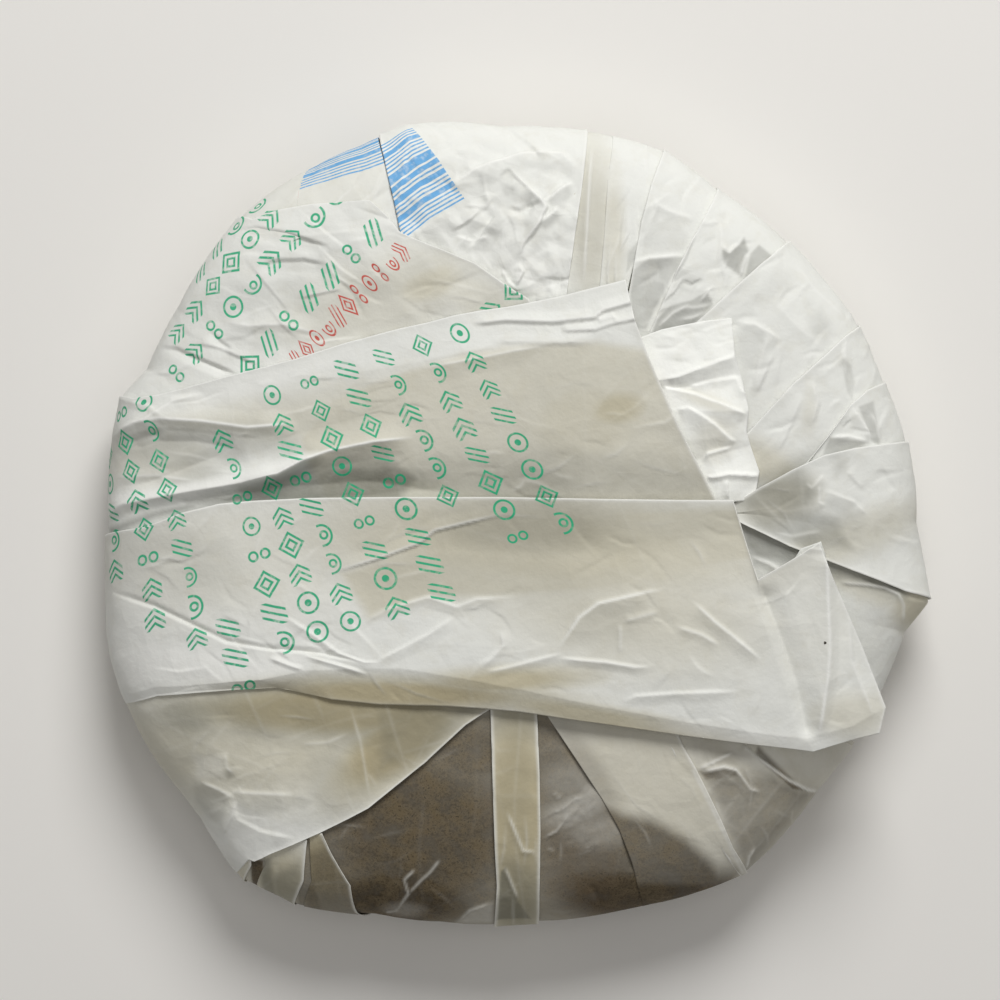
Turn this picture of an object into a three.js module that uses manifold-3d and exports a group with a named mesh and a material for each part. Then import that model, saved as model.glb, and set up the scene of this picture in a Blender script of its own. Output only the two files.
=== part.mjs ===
// A pressed tea cake in its paper wrapper, lying on its smooth domed face.
// The pleated back is up, with the gathered end of the paper folded over it as a raised flap.
// Sizes are in millimetres. +Z is up, and +Y is the edge that was uppermost when the cake stood.

import * as THREE from 'three';
import { mergeVertices } from 'three/addons/utils/BufferGeometryUtils.js';
import Module from 'manifold-3d';

const rimRadius = 56;
const rimHeight = 9;
const restRadius = 30;
const backRadius = 33;
const backHeight = 19;
const navelDepth = 0.6;
const domeRoundness = 2.3;
const shoulderRoundness = 2.7;

const foldThickness = 0.9;
const foldRoot = 1.2;
const pleatLift = 1.0;
const tuckLift = 0.3;
const tuckReach = 1.15;
const flapLift = 1.4;
const stripLift = 0.8;
const bunchLift = 2.4;
const flapCrest = 24;
const flapEdgeLevel = 21.6;
const flapTipLevel = 20.2;

const domeRows = 7;
const shoulderRows = 10;
const backRows = 4;
const rimStep = 3;
const sheetCell = 3.6;

// Corners of the rim, where folds of the paper stand out, anticlockwise from the right.
const rimCorners = [
  [55.6, 1.0], [54.5, 11.4], [51.4, 20.3], [47.7, 28.2], [38.5, 38.9], [28.2, 47.0],
  [20.6, 52.2], [12.4, 54.4], [-1.1, 55.4], [-14.4, 55.6], [-20.6, 52.7], [-29.3, 48.8],
  [-37.4, 42.6], [-45.7, 30.2], [-49.7, 22.0], [-53.4, 18.0], [-54.7, 1.4], [-55.1, -8.2],
  [-54.5, -17.9], [-52.9, -23.1], [-42.3, -39.4], [-36.4, -48.1], [-28.8, -51.5],
  [-18.5, -52.9], [-9.6, -53.8], [4.1, -53.8], [19.2, -51.5], [32.0, -47.4],
  [42.3, -35.7], [47.1, -29.5], [54.2, -14.0], [57.3, -10.0],
];

const mix = (a, b, t) => a + (b - a) * t;
const smooth = (from, to, value) => THREE.MathUtils.smoothstep(value, from, to);

const rimPolar = rimCorners
  .map(([x, y]) => ({ angle: Math.atan2(y, x), radius: Math.hypot(x, y) }))
  .sort((a, b) => a.angle - b.angle);

function rimAt(angle) {
  const turn = 2 * Math.PI;
  for (let i = 0; i < rimPolar.length; i += 1) {
    const here = rimPolar[i];
    const next = rimPolar[(i + 1) % rimPolar.length];
    const span = (next.angle - here.angle + turn) % turn;
    const along = (angle - here.angle + turn) % turn;
    if (along <= span) {
      return mix(here.radius, next.radius, along / span);
    }
  }
  return rimRadius;
}

// The paper's corners show fully at the rim and fade towards the middle of both faces.
function shaped(radius, angle) {
  const excess = rimAt(angle) / rimRadius - 1;
  return radius * (1 + excess * (radius / rimRadius) ** 2);
}

function wrapHeight(x, y) {
  const reach = Math.hypot(x, y);
  const excess = rimAt(Math.atan2(y, x)) / rimRadius - 1;
  const radius = reach / (1 + excess * (reach / rimRadius) ** 2);
  if (radius < backRadius) {
    return backHeight - navelDepth * (1 - (radius / backRadius) ** 2);
  }
  const out = Math.min(1, (radius - backRadius) / (rimRadius - backRadius));
  const drop = (1 - out ** shoulderRoundness) ** (1 / shoulderRoundness);
  return rimHeight + (backHeight - rimHeight) * drop;
}

// A point over the back of the wrapped cake, moved out along the surface's normal.
function wrapPoint(x, y, lift) {
  const probe = 0.4;
  const inward = 1 - probe / Math.max(1, Math.hypot(x, y));
  const [px, py] = [x * inward, y * inward];
  const slopeX = (wrapHeight(px + probe, py) - wrapHeight(px - probe, py)) / (2 * probe);
  const slopeY = (wrapHeight(px, py + probe) - wrapHeight(px, py - probe)) / (2 * probe);
  const normal = new THREE.Vector3(-slopeX, -slopeY, 1).normalize();
  return new THREE.Vector3(x, y, wrapHeight(x, y)).addScaledVector(normal, lift);
}

function signedVolume(points, triangles) {
  let volume = 0;
  for (let t = 0; t < triangles.length; t += 3) {
    const [a, b, c] = [0, 1, 2].map((k) => points[triangles[t + k]]);
    volume += a.dot(new THREE.Vector3().crossVectors(b, c)) / 6;
  }
  return volume;
}

// Faces are turned outwards, whichever way round the points were listed.
function geometryFrom(points, triangles) {
  if (signedVolume(points, triangles) < 0) {
    triangles.reverse();
  }
  const geometry = new THREE.BufferGeometry();
  const numbers = points.flatMap((p) => [p.x, p.y, p.z]);
  geometry.setAttribute('position', new THREE.Float32BufferAttribute(numbers, 3));
  geometry.setIndex(triangles);
  return geometry;
}

// Body of the cake
function bodyProfile() {
  const rows = [];
  for (let i = 0; i <= domeRows; i += 1) {
    const turn = (Math.PI / 2) * (i / domeRows);
    const out = Math.sin(turn) ** (2 / domeRoundness);
    const up = 1 - Math.cos(turn) ** (2 / domeRoundness);
    rows.push([mix(restRadius, rimRadius, out), rimHeight * up]);
  }
  for (let i = 1; i <= shoulderRows; i += 1) {
    const turn = (Math.PI / 2) * (i / shoulderRows);
    const out = Math.cos(turn) ** (2 / shoulderRoundness);
    const up = Math.sin(turn) ** (2 / shoulderRoundness);
    rows.push([mix(backRadius, rimRadius, out), mix(rimHeight, backHeight, up)]);
  }
  for (let i = 1; i < backRows; i += 1) {
    const radius = backRadius * (1 - i / backRows);
    rows.push([radius, backHeight - navelDepth * (1 - (radius / backRadius) ** 2)]);
  }
  return rows;
}

// Every rim corner gets a column of its own, so that the folds stay sharp.
function rimAngles() {
  const angles = [];
  rimPolar.forEach((corner, i) => {
    const next = rimPolar[(i + 1) % rimPolar.length];
    const span = (next.angle - corner.angle + 2 * Math.PI) % (2 * Math.PI);
    const steps = Math.max(1, Math.round((span * rimRadius) / rimStep));
    for (let k = 0; k < steps; k += 1) {
      angles.push(corner.angle + (span * k) / steps);
    }
  });
  return angles;
}

function cakeBody() {
  const rows = bodyProfile();
  const angles = rimAngles();
  const points = [];
  const triangles = [];
  rows.forEach(([radius, z]) => {
    angles.forEach((angle) => {
      const reach = shaped(radius, angle);
      points.push(new THREE.Vector3(reach * Math.cos(angle), reach * Math.sin(angle), z));
    });
  });
  const count = angles.length;
  const restCentre = points.push(new THREE.Vector3(0, 0, 0)) - 1;
  const backCentre = points.push(new THREE.Vector3(0, 0, backHeight - navelDepth)) - 1;
  const last = (rows.length - 1) * count;
  for (let k = 0; k < count; k += 1) {
    const next = (k + 1) % count;
    triangles.push(restCentre, next, k, backCentre, last + k, last + next);
    for (let i = 0; i < rows.length - 1; i += 1) {
      const [a, b] = [i * count + k, i * count + next];
      triangles.push(a, b, b + count, a, b + count, a + count);
    }
  }
  return geometryFrom(points, triangles);
}

// A sheet is lofted through rails, which are lists of as many corners each.
// place(x, y, lift) gives its upper face, and root(x, y, top) its lower face.
function loftSheet(rails, place, root) {
  const spanSteps = [];
  for (let k = 0; k < rails[0].length - 1; k += 1) {
    const lengths = rails.map((r) => Math.hypot(r[k + 1][0] - r[k][0], r[k + 1][1] - r[k][1]));
    spanSteps.push(Math.max(1, Math.round(Math.max(...lengths) / sheetCell)));
  }
  const stations = [];
  spanSteps.forEach((steps, k) => {
    for (let s = 0; s < steps; s += 1) {
      stations.push([k, s / steps]);
    }
  });
  stations.push([rails[0].length - 2, 1]);
  const onRail = (rail, [k, t]) => rail[k].map((value, axis) => mix(value, rail[k + 1][axis], t));

  const upper = [];
  rails.forEach((rail, i) => {
    if (i === 0) {
      upper.push(stations.map((station) => onRail(rail, station)));
      return;
    }
    const before = rails[i - 1];
    const widths = rail.map((p, k) => Math.hypot(p[0] - before[k][0], p[1] - before[k][1]));
    const steps = Math.max(1, Math.round(Math.max(...widths) / sheetCell));
    for (let s = 1; s <= steps; s += 1) {
      upper.push(stations.map((station) => {
        const from = onRail(before, station);
        const to = onRail(rail, station);
        return from.map((value, axis) => mix(value, to[axis], s / steps));
      }));
    }
  });

  const rowCount = upper.length;
  const columnCount = stations.length;
  const tops = upper.flat().map(([x, y, lift]) => place(x, y, lift));
  const bottoms = upper.flat().map(([x, y], n) => root(x, y, tops[n]));
  const under = tops.length;
  const triangles = [];
  const quad = (a, b, c, d) => triangles.push(a, b, c, a, c, d);
  for (let i = 0; i < rowCount - 1; i += 1) {
    for (let k = 0; k < columnCount - 1; k += 1) {
      const a = i * columnCount + k;
      const b = a + columnCount;
      quad(a, b, b + 1, a + 1);
      triangles.push(under + a, under + b + 1, under + b, under + a, under + a + 1, under + b + 1);
    }
  }
  for (let k = 0; k < columnCount - 1; k += 1) {
    const far = (rowCount - 1) * columnCount + k;
    quad(k + 1, under + k + 1, under + k, k);
    quad(far, under + far, under + far + 1, far + 1);
  }
  for (let i = 0; i < rowCount - 1; i += 1) {
    const near = i * columnCount;
    const right = near + columnCount - 1;
    quad(near, under + near, under + near + columnCount, near + columnCount);
    quad(right + columnCount, under + right + columnCount, under + right, right);
  }
  return geometryFrom([...tops, ...bottoms], triangles);
}

// Sheets that lie on the wrapped cake are rooted a little inside it.
const rooted = (x, y) => wrapPoint(x, y, -foldRoot);
const layOn = (rails) => loftSheet(rails, wrapPoint, rooted);
const lifted = (points, lift) => points.map(([x, y]) => [x, y, lift]);

// Each pleat fold runs in from the rim. Its sheet lies over the one before it.
function pleatSheets() {
  const folds = [
    [[9.6, 54.2], [9.8, 45.0], [7.6, 32.0]],
    [[13.2, 53.6], [13.0, 44.0], [12.1, 31.0]],
    [[20.6, 51.6], [18.5, 44.0], [15.0, 30.0]],
    [[31.0, 44.4], [25.0, 38.0], [17.6, 27.0]],
    [[38.2, 38.6], [31.6, 33.9], [24.0, 26.0]],
    [[47.4, 28.0], [38.5, 19.9], [31.0, 13.0]],
    [[51.0, 20.2], [44.5, 16.0], [34.0, 9.0]],
    [[54.2, 11.4], [43.0, 10.0], [30.5, 4.0]],
  ];
  const sheets = [];
  for (let i = 0; i < folds.length - 1; i += 1) {
    const tucked = folds[i + 1].map(([x, y], k) => [
      mix(folds[i][k][0], x, tuckReach),
      mix(folds[i][k][1], y, tuckReach),
    ]);
    sheets.push(layOn([lifted(folds[i], pleatLift), lifted(tucked, tuckLift)]));
  }
  const rightSheet = [
    lifted([[54.4, 11.4], [46.7, 11.1], [38.5, 8.2], [30.0, 5.0]], pleatLift),
    lifted([[55.3, 1.0], [48.5, 2.0], [39.0, 2.5], [30.0, 2.0]], pleatLift),
    lifted([[57.2, -10.0], [47.0, -6.0], [38.0, -2.4], [30.0, -1.0]], pleatLift),
  ];
  sheets.push(layOn(rightSheet));
  return sheets;
}

// Printed sheet at the upper left, with its free edge towards the middle
function printedSheet() {
  return layOn([
    lifted([[-36.6, 42.0], [-28.0, 44.6], [-19.1, 44.6]], pleatLift),
    lifted([[-41.4, 35.6], [-28.0, 38.4], [-14.8, 40.4]], pleatLift),
    lifted([[-45.0, 29.6], [-26.0, 31.5], [-4.7, 36.3]], pleatLift),
    lifted([[-52.6, 18.0], [-26.0, 20.0], [2.6, 30.0]], pleatLift),
  ]);
}

// Crumpled ends of the gathered paper, beside the flap
function crumpledBunch() {
  return layOn([
    [[16.0, 27.0, bunchLift], [24.0, 28.0, bunchLift], [30.2, 28.8, pleatLift]],
    [[18.0, 20.5, bunchLift], [26.0, 22.5, bunchLift], [31.0, 23.6, pleatLift]],
    [[20.0, 14.5, bunchLift], [26.5, 17.5, pleatLift], [32.3, 14.1, pleatLift]],
    [[24.0, 6.0, bunchLift], [28.0, 10.0, bunchLift], [31.2, 11.0, pleatLift]],
  ]);
}

// Lower left triangle, middle strip and right wedge, which hold the lower papers down
function lowerSheets() {
  const triangle = layOn([
    lifted([[-53.6, -17.0], [-38.0, -17.0], [-20.0, -17.0], [0.0, -17.0]], pleatLift),
    lifted([[-52.7, -23.0], [-38.0, -24.0], [-20.0, -24.0], [-2.5, -24.2]], pleatLift),
    lifted([[-42.3, -38.8], [-36.0, -34.5], [-24.0, -33.0], [-11.5, -31.6]], pleatLift),
    lifted([[-35.4, -44.6], [-31.0, -43.4], [-25.8, -41.2], [-19.2, -37.8]], pleatLift),
  ]);
  const strip = layOn([
    lifted([[-2.6, -20.0], [-2.5, -34.0], [-2.2, -53.0]], stripLift),
    lifted([[3.6, -20.0], [4.1, -34.0], [3.4, -53.4]], stripLift),
  ]);
  const wedge = layOn([
    lifted([[6.9, -22.0], [9.8, -31.0], [19.4, -40.2], [26.9, -45.3]], tuckLift),
    lifted([[22.0, -22.0], [25.3, -32.7], [28.7, -39.4], [31.8, -46.6]], pleatLift),
  ]);
  const cornerPleats = layOn([
    lifted([[-34.6, -44.8], [-35.3, -47.8]], pleatLift),
    lifted([[-27.4, -43.6], [-28.6, -51.0]], pleatLift),
    lifted([[-23.2, -40.6], [-18.6, -52.4]], tuckLift),
  ]);
  return [triangle, strip, wedge, cornerPleats];
}

// The upper sheet of the flap lies on the pleats, from the left rim to its free right edge.
function upperFlap() {
  return layOn([
    lifted([[-53.0, 18.2], [-38.5, 20.9], [-15.1, 27.5], [15.8, 34.1]], flapLift),
    lifted([[-53.4, 8.0], [-38.0, 10.5], [-14.0, 16.0], [21.3, 19.9]], flapLift),
    lifted([[-54.2, -2.0], [-38.0, -1.0], [-12.0, 0.0], [28.5, 2.5]], flapLift),
  ]);
}

// The lower sheet is pressed down at the left and stands clear of the cake at the right.
// Its crest runs above the narrow band that turns back to the free lower edge.
function lowerFlap() {
  const rails = [
    lifted([[-54.0, -1.4], [-44.5, 2.3], [-27.5, 4.4], [-1.4, 4.5], [12.4, 4.3],
      [30.6, 4.1], [33.9, -6.6], [38.5, -4.1], [42.4, -1.6]], 22),
    lifted([[-54.6, -12.0], [-44.0, -9.5], [-28.0, -8.0], [-3.0, -8.0], [13.0, -9.0],
      [29.5, -9.5], [36.0, -13.0], [41.0, -12.5], [46.0, -10.3]], 22.4),
    lifted([[-53.4, -21.4], [-42.9, -20.8], [-27.7, -19.1], [-4.1, -19.0], [12.2, -24.0],
      [26.0, -26.5], [36.0, -27.6], [45.0, -26.0], [50.4, -21.7]], flapCrest),
    lifted([[-53.0, -22.4], [-42.9, -22.0], [-24.2, -23.1], [-3.0, -24.6], [12.2, -26.2],
      [25.0, -28.1], [36.0, -29.5], [46.6, -28.8], [51.8, -24.0]], flapEdgeLevel),
  ];
  const freeFrom = -22;
  const freeBelow = -4;
  const pressed = (x) => mix(flapLift + 0.6, 16, smooth(-46, 4, x));
  const level = (x, z) => mix(z, Math.min(z, flapTipLevel), smooth(38, 52, x));
  const place = (x, y, z) => {
    const flat = level(x, z);
    if (wrapHeight(x, y) + pressed(x) > flat) {
      return new THREE.Vector3(x, y, flat);
    }
    return wrapPoint(x, y, pressed(x));
  };
  const root = (x, y, top) => {
    const free = x > 27 || (x > freeFrom && y < freeBelow);
    return free ? new THREE.Vector3(top.x, top.y, top.z - foldThickness) : rooted(x, y);
  };
  return loftSheet(rails, place, root);
}

const wasm = await Module();
wasm.setup();

function solidFrom(geometry) {
  geometry.deleteAttribute('normal');
  geometry.deleteAttribute('uv');
  const merged = mergeVertices(geometry, 1e-4);
  const vertProperties = new Float32Array(merged.attributes.position.array);
  const triVerts = new Uint32Array(merged.index.array);
  return new wasm.Manifold(new wasm.Mesh({ numProp: 3, vertProperties, triVerts }));
}

function geometryOf(solid) {
  const mesh = solid.getMesh();
  const geometry = new THREE.BufferGeometry();
  const position = new THREE.BufferAttribute(new Float32Array(mesh.vertProperties), 3);
  geometry.setAttribute('position', position);
  geometry.setIndex(new THREE.BufferAttribute(new Uint32Array(mesh.triVerts), 1));
  geometry.computeVertexNormals();
  return geometry;
}

const sheets = [
  ...pleatSheets(),
  printedSheet(),
  crumpledBunch(),
  ...lowerSheets(),
  upperFlap(),
  lowerFlap(),
];
const wrapped = sheets.reduce((solid, sheet) => solid.add(solidFrom(sheet)), solidFrom(cakeBody()));

const paper = new THREE.MeshStandardMaterial({ color: 0xd8d6ca, roughness: 0.85, metalness: 0 });
const cake = new THREE.Mesh(geometryOf(wrapped), paper);
cake.name = 'wrapped_tea_cake';

const group = new THREE.Group();
group.add(cake);

export default group;
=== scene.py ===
"""A pressed tea cake in its paper wrapper, lying on its smooth face with the pleated back up.

Lengths are in millimetres until a mesh is made. +Y is the edge that was uppermost when the cake
stood, and +X is where the free end of the flap points.
"""
import itertools
import math

import bpy
import numpy as np
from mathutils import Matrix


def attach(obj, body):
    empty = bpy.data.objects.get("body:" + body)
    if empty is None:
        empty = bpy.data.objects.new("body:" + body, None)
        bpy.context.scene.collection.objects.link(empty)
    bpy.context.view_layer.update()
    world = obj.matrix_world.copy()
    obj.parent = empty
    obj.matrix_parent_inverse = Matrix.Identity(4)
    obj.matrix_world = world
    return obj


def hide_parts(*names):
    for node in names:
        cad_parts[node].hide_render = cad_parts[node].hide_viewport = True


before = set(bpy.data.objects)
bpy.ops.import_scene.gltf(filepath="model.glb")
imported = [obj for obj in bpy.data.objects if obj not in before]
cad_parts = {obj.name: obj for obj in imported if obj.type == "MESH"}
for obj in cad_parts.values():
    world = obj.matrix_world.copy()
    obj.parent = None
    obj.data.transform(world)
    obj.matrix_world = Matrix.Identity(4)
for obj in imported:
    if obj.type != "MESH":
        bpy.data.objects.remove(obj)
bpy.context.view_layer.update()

MM = 0.001
RIM_RADIUS = 56.0
RIM_HEIGHT = 9.0
REST_RADIUS = 30.0
BACK_RADIUS = 33.0
BACK_HEIGHT = 19.0
NAVEL_DEPTH = 0.6
DOME_ROUNDNESS = 2.3
SHOULDER_ROUNDNESS = 2.7

PAPER = 0.12
CELL = 0.31
FLAP_CELL = 0.26
BODY_CELL = 0.62
BODY_SPOKES = 600
ROUND_RIM = 10.5
FAR = 1e9

# Points read off the photograph are written as its pixels, and photo() turns them into millimetres.
PIXELS_PER_MM = 7.28
PHOTO_CENTRE = (510.0, 530.0)

RIM_CORNERS = [
    (55.6, 1.0), (54.5, 11.4), (51.4, 20.3), (47.7, 28.2), (38.5, 38.9), (28.2, 47.0),
    (20.6, 52.2), (12.4, 54.4), (-1.1, 55.4), (-14.4, 55.6), (-20.6, 52.7), (-29.3, 48.8),
    (-37.4, 42.6), (-45.7, 30.2), (-49.7, 22.0), (-53.4, 18.0), (-54.7, 1.4), (-55.1, -8.2),
    (-54.5, -17.9), (-52.9, -23.1), (-42.3, -39.4), (-36.4, -48.1), (-28.8, -51.5),
    (-18.5, -52.9), (-9.6, -53.8), (4.1, -53.8), (19.2, -51.5), (32.0, -47.4),
    (42.3, -35.7), (47.1, -29.5), (54.2, -14.0), (57.3, -10.0),
]


def photo(*pixels):
    spots = np.array(pixels, dtype=float)
    x = (spots[:, 0] - PHOTO_CENTRE[0]) / PIXELS_PER_MM
    y = (PHOTO_CENTRE[1] - spots[:, 1]) / PIXELS_PER_MM
    return np.stack([x, y], axis=1)


def smooth(low, high, value):
    t = np.clip((value - low) / (high - low), 0.0, 1.0)
    return t * t * (3.0 - 2.0 * t)


# Form of the wrapped cake

def make_profile():
    """The section from the middle of the back over the rim to the middle of the resting spot."""
    turn = np.linspace(0.0, math.pi / 2, 400)
    navel = np.linspace(0.0, BACK_RADIUS, 60)[:-1]
    back_z = BACK_HEIGHT - NAVEL_DEPTH * (1 - (navel / BACK_RADIUS) ** 2)
    out = np.sin(turn) ** (2 / SHOULDER_ROUNDNESS)
    up = np.cos(turn) ** (2 / SHOULDER_ROUNDNESS)
    shoulder_r = BACK_RADIUS + (RIM_RADIUS - BACK_RADIUS) * out
    shoulder_z = RIM_HEIGHT + (BACK_HEIGHT - RIM_HEIGHT) * up
    under = turn[1:]
    dome_r = REST_RADIUS + (RIM_RADIUS - REST_RADIUS) * np.cos(under) ** (2 / DOME_ROUNDNESS)
    dome_z = RIM_HEIGHT * (1 - np.sin(under) ** (2 / DOME_ROUNDNESS))
    rest = np.linspace(REST_RADIUS, 0.0, 40)[1:]
    radius = np.concatenate([navel, shoulder_r, dome_r, rest])
    height = np.concatenate([back_z, shoulder_z, dome_z, np.zeros(rest.size)])
    run = np.concatenate([[0.0], np.cumsum(np.hypot(np.diff(radius), np.diff(height)))])
    even = np.linspace(0.0, run[-1], 900)
    radius = np.interp(even, run, radius)
    height = np.interp(even, run, height)
    slope_r = np.gradient(radius, even)
    slope_z = np.gradient(height, even)
    length = np.hypot(slope_r, slope_z)
    rim_row = int(np.argmax(radius))
    return {
        "run": even, "radius": radius, "height": height, "rim_run": even[rim_row],
        "out": -slope_z / length, "up": slope_r / length, "rim_row": rim_row,
    }


PROFILE = make_profile()
RIM_RUN = PROFILE["rim_run"]


def rim_excess(angle):
    corners = np.array(RIM_CORNERS)
    angles = np.arctan2(corners[:, 1], corners[:, 0])
    reaches = np.hypot(corners[:, 0], corners[:, 1])
    order = np.argsort(angles)
    return np.interp(angle, angles[order], reaches[order], period=2 * math.pi) / RIM_RADIUS - 1


def to_wrap(spots):
    """Moves points of the plan onto the wrapper laid out flat, where distances from the middle
    are measured along the paper."""
    angle = np.arctan2(spots[:, 1], spots[:, 0])
    reach = np.hypot(spots[:, 0], spots[:, 1])
    radius = reach / (1 + rim_excess(angle) * (reach / RIM_RADIUS) ** 2)
    row = PROFILE["rim_row"] + 1
    run = np.interp(radius, PROFILE["radius"][:row], PROFILE["run"][:row])
    return np.stack([run * np.cos(angle), run * np.sin(angle)], axis=1)


def over_rim(spots, extra):
    """Carries points that lie at the rim on round it, by a length of paper."""
    run = np.hypot(spots[:, 0], spots[:, 1])
    return spots * ((run + extra) / run)[:, None]


def wrap_frame(spots):
    """The cake's surface and its normal at points of the wrapper laid out flat."""
    run = np.hypot(spots[:, 0], spots[:, 1])
    angle = np.arctan2(spots[:, 1], spots[:, 0])
    radius = np.interp(run, PROFILE["run"], PROFILE["radius"])
    height = np.interp(run, PROFILE["run"], PROFILE["height"])
    out = np.interp(run, PROFILE["run"], PROFILE["out"])
    up = np.interp(run, PROFILE["run"], PROFILE["up"])
    reach = radius * (1 + rim_excess(angle) * (radius / RIM_RADIUS) ** 2)
    place = np.stack([reach * np.cos(angle), reach * np.sin(angle), height], axis=1)
    normal = np.stack([out * np.cos(angle), out * np.sin(angle), up], axis=1)
    return place, normal


# Unevenness of the paper

def hashed(cells, salt=0):
    """A random number from 0 to 1 for each row of whole numbers."""
    mixed = cells[:, 0] * 73856093 ^ cells[:, 1] * 19349663 ^ (cells[:, -1] + salt) * 83492791
    mixed = (mixed ^ (mixed >> 13)) * 1274126177
    return ((mixed ^ (mixed >> 16)) & 0xFFFF) / 65535.0


def lumps(places, size, seed):
    """Smooth random heights between -1 and 1, with bumps about one size apart."""
    cells = places / size + 7.31 * seed
    low = np.floor(cells).astype(np.int64)
    part = cells - low
    part = part * part * (3 - 2 * part)
    total = np.zeros(len(places))
    for corner in itertools.product((0, 1), repeat=3):
        weight = np.prod(np.where(corner, part, 1 - part), axis=1)
        total += weight * hashed(low + np.array(corner))
    return 2 * total - 1


def facets(spots, size, seed):
    """Heights between about -1 and 1 of slanted planes that meet in straight creases, as on
    crushed paper, and how near each point is to a crease, as 0 to 1."""
    rng = np.random.default_rng(100 + seed)
    total = np.zeros(len(spots))
    sharp = np.zeros(len(spots))
    first_turn = rng.uniform(0, math.pi)
    for k in range(4):
        turn = first_turn + k * math.pi / 4 + rng.uniform(-0.3, 0.3)
        pitch = size * rng.uniform(0.7, 1.5)
        layer = np.column_stack([spots, np.full(len(spots), 31.0 * k)])
        along = (spots[:, 0] * math.cos(turn) + spots[:, 1] * math.sin(turn)) / pitch
        part = (along + 0.4 * lumps(layer, 3 * size, seed + k)) % 1
        strength = smooth(-0.2, 0.5, lumps(layer, size, seed + 9 + k))
        total += strength * (abs(part - 0.5) * 4 - 1) * pitch / size
        nearest = np.minimum(part, 1 - part) * pitch
        sharp = np.maximum(sharp, strength * np.exp(-(nearest / 0.25) ** 2))
    return total / 2, sharp


def crease(line, height, left, right, fade):
    """A ridge, or a groove where height is below 0, with flanks of two widths."""
    return {"line": np.array(line, dtype=float), "height": height, "left": left,
            "right": right, "fade": fade}


def fold(height, *pixels, left=0.38, right=1.2, fade=0.25):
    return crease(photo(*pixels), height, left, right, fade)


def crumple(seed, count, box, angle=0.0, spread=math.pi, length=(4, 14), height=(0.05, 0.2),
            width=(0.7, 2.2)):
    """Random small creases over a box of the photograph, given by two corners in pixels. They
    lie about the angle, in degrees."""
    rng = np.random.default_rng(seed)
    low, high = photo(box[0])[0], photo(box[1])[0]
    creases = []
    for _ in range(count):
        middle = rng.uniform(np.minimum(low, high), np.maximum(low, high))
        turn = math.radians(angle) + rng.uniform(-spread / 2, spread / 2)
        along = np.array([math.cos(turn), math.sin(turn)]) * rng.uniform(*length) / 2
        bend = np.array([-along[1], along[0]]) * rng.uniform(-0.25, 0.25)
        sign = 1 if rng.random() < 0.55 else -1
        line = [middle - along, middle + bend, middle + along]
        left, right = rng.uniform(*width), 0.25 + 0.2 * rng.random()
        if rng.random() < 0.5:
            left, right = right, left
        creases.append(crease(line, sign * rng.uniform(*height), left, right, 0.45))
    return creases


# Painted highlight along ridge tops: its width, and the ridge height at which it is full.
CREST_WIDTH = 0.2
FULL_CREST = 0.65


def relief(spots, creases):
    """The height that creases add, and a painted highlight along the ridge tops, as 0 to 1."""
    total = np.zeros(len(spots))
    crest_highlight = np.zeros(len(spots))
    for mark in creases:
        line = mark["line"]
        reach = max(mark["left"], mark["right"])
        low, high = line.min(axis=0) - reach, line.max(axis=0) + reach
        near = np.nonzero(np.all((spots > low) & (spots < high), axis=1))[0]
        if near.size == 0:
            continue
        here = spots[near]
        steps = np.diff(line, axis=0)
        lengths = np.hypot(steps[:, 0], steps[:, 1])
        starts = np.concatenate([[0.0], np.cumsum(lengths)])
        best = np.full(near.size, FAR)
        side = np.zeros(near.size)
        along = np.zeros(near.size)
        for start, step, length, base in zip(line[:-1], steps, lengths, starts):
            away = here - start
            t = np.clip((away @ step) / length ** 2, 0, 1)
            gap = away - t[:, None] * step
            distance = np.hypot(gap[:, 0], gap[:, 1])
            closer = distance < best
            cross = step[0] * away[:, 1] - step[1] * away[:, 0]
            best = np.where(closer, distance, best)
            side = np.where(closer, cross, side)
            along = np.where(closer, (base + t * length) / starts[-1], along)
        width = np.where(side > 0, mark["left"], mark["right"])
        tent = np.clip(1 - best / width, 0, 1) ** 1.4
        ends = smooth(0, mark["fade"], along) * smooth(0, mark["fade"], 1 - along)
        total[near] += mark["height"] * tent * ends
        # Painted highlight on the ridge top, stronger on higher ridges.
        highlight_share = min(1.0, max(0.0, mark["height"] / FULL_CREST))
        crest_highlight[near] = np.maximum(crest_highlight[near], highlight_share * ends * np.exp(-(best / CREST_WIDTH) ** 2))
    return total, crest_highlight


def area(strength, *pixels, soft=0.25):
    """A patch with a sharp outline, whose edge fades over the soft length."""
    return {"outline": photo(*pixels), "strength": strength, "soft": soft}


def inside_area(spots, patch):
    outline = patch["outline"]
    nearest = np.full(len(spots), FAR)
    inside = np.zeros(len(spots), dtype=bool)
    for start, end in zip(outline, np.roll(outline, -1, axis=0)):
        step = end - start
        away = spots - start
        t = np.clip((away @ step) / (step @ step), 0, 1)
        gap = away - t[:, None] * step
        nearest = np.minimum(nearest, np.hypot(gap[:, 0], gap[:, 1]))
        crosses = (start[1] > spots[:, 1]) != (end[1] > spots[:, 1])
        rise = step[1] if step[1] else 1e-9
        inside ^= crosses & (away[:, 0] < step[0] * away[:, 1] / rise)
    return smooth(-patch["soft"], patch["soft"], np.where(inside, nearest, -nearest))


def inside_ellipse(spots, x, y, wide, high, turn):
    away = (spots - photo((x, y))[0]) * PIXELS_PER_MM
    c, s = math.cos(math.radians(turn)), math.sin(math.radians(turn))
    along = (away[:, 0] * c + away[:, 1] * s) / wide
    across = (away[:, 1] * c - away[:, 0] * s) / high
    return 1 - smooth(0.3, 1.5, np.hypot(along, across))


def tint(spots, patches):
    """The strongest of some patches: areas, or soft ellipses given as (x px, y px, half width,
    half height, turn in degrees, strength), with half sizes in pixels."""
    total = np.zeros(len(spots))
    for patch in patches:
        if isinstance(patch, dict):
            shown = patch["strength"] * inside_area(spots, patch)
        else:
            shown = patch[5] * inside_ellipse(spots, *patch[:5])
        total = np.maximum(total, shown)
    return total


# Meshes

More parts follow.
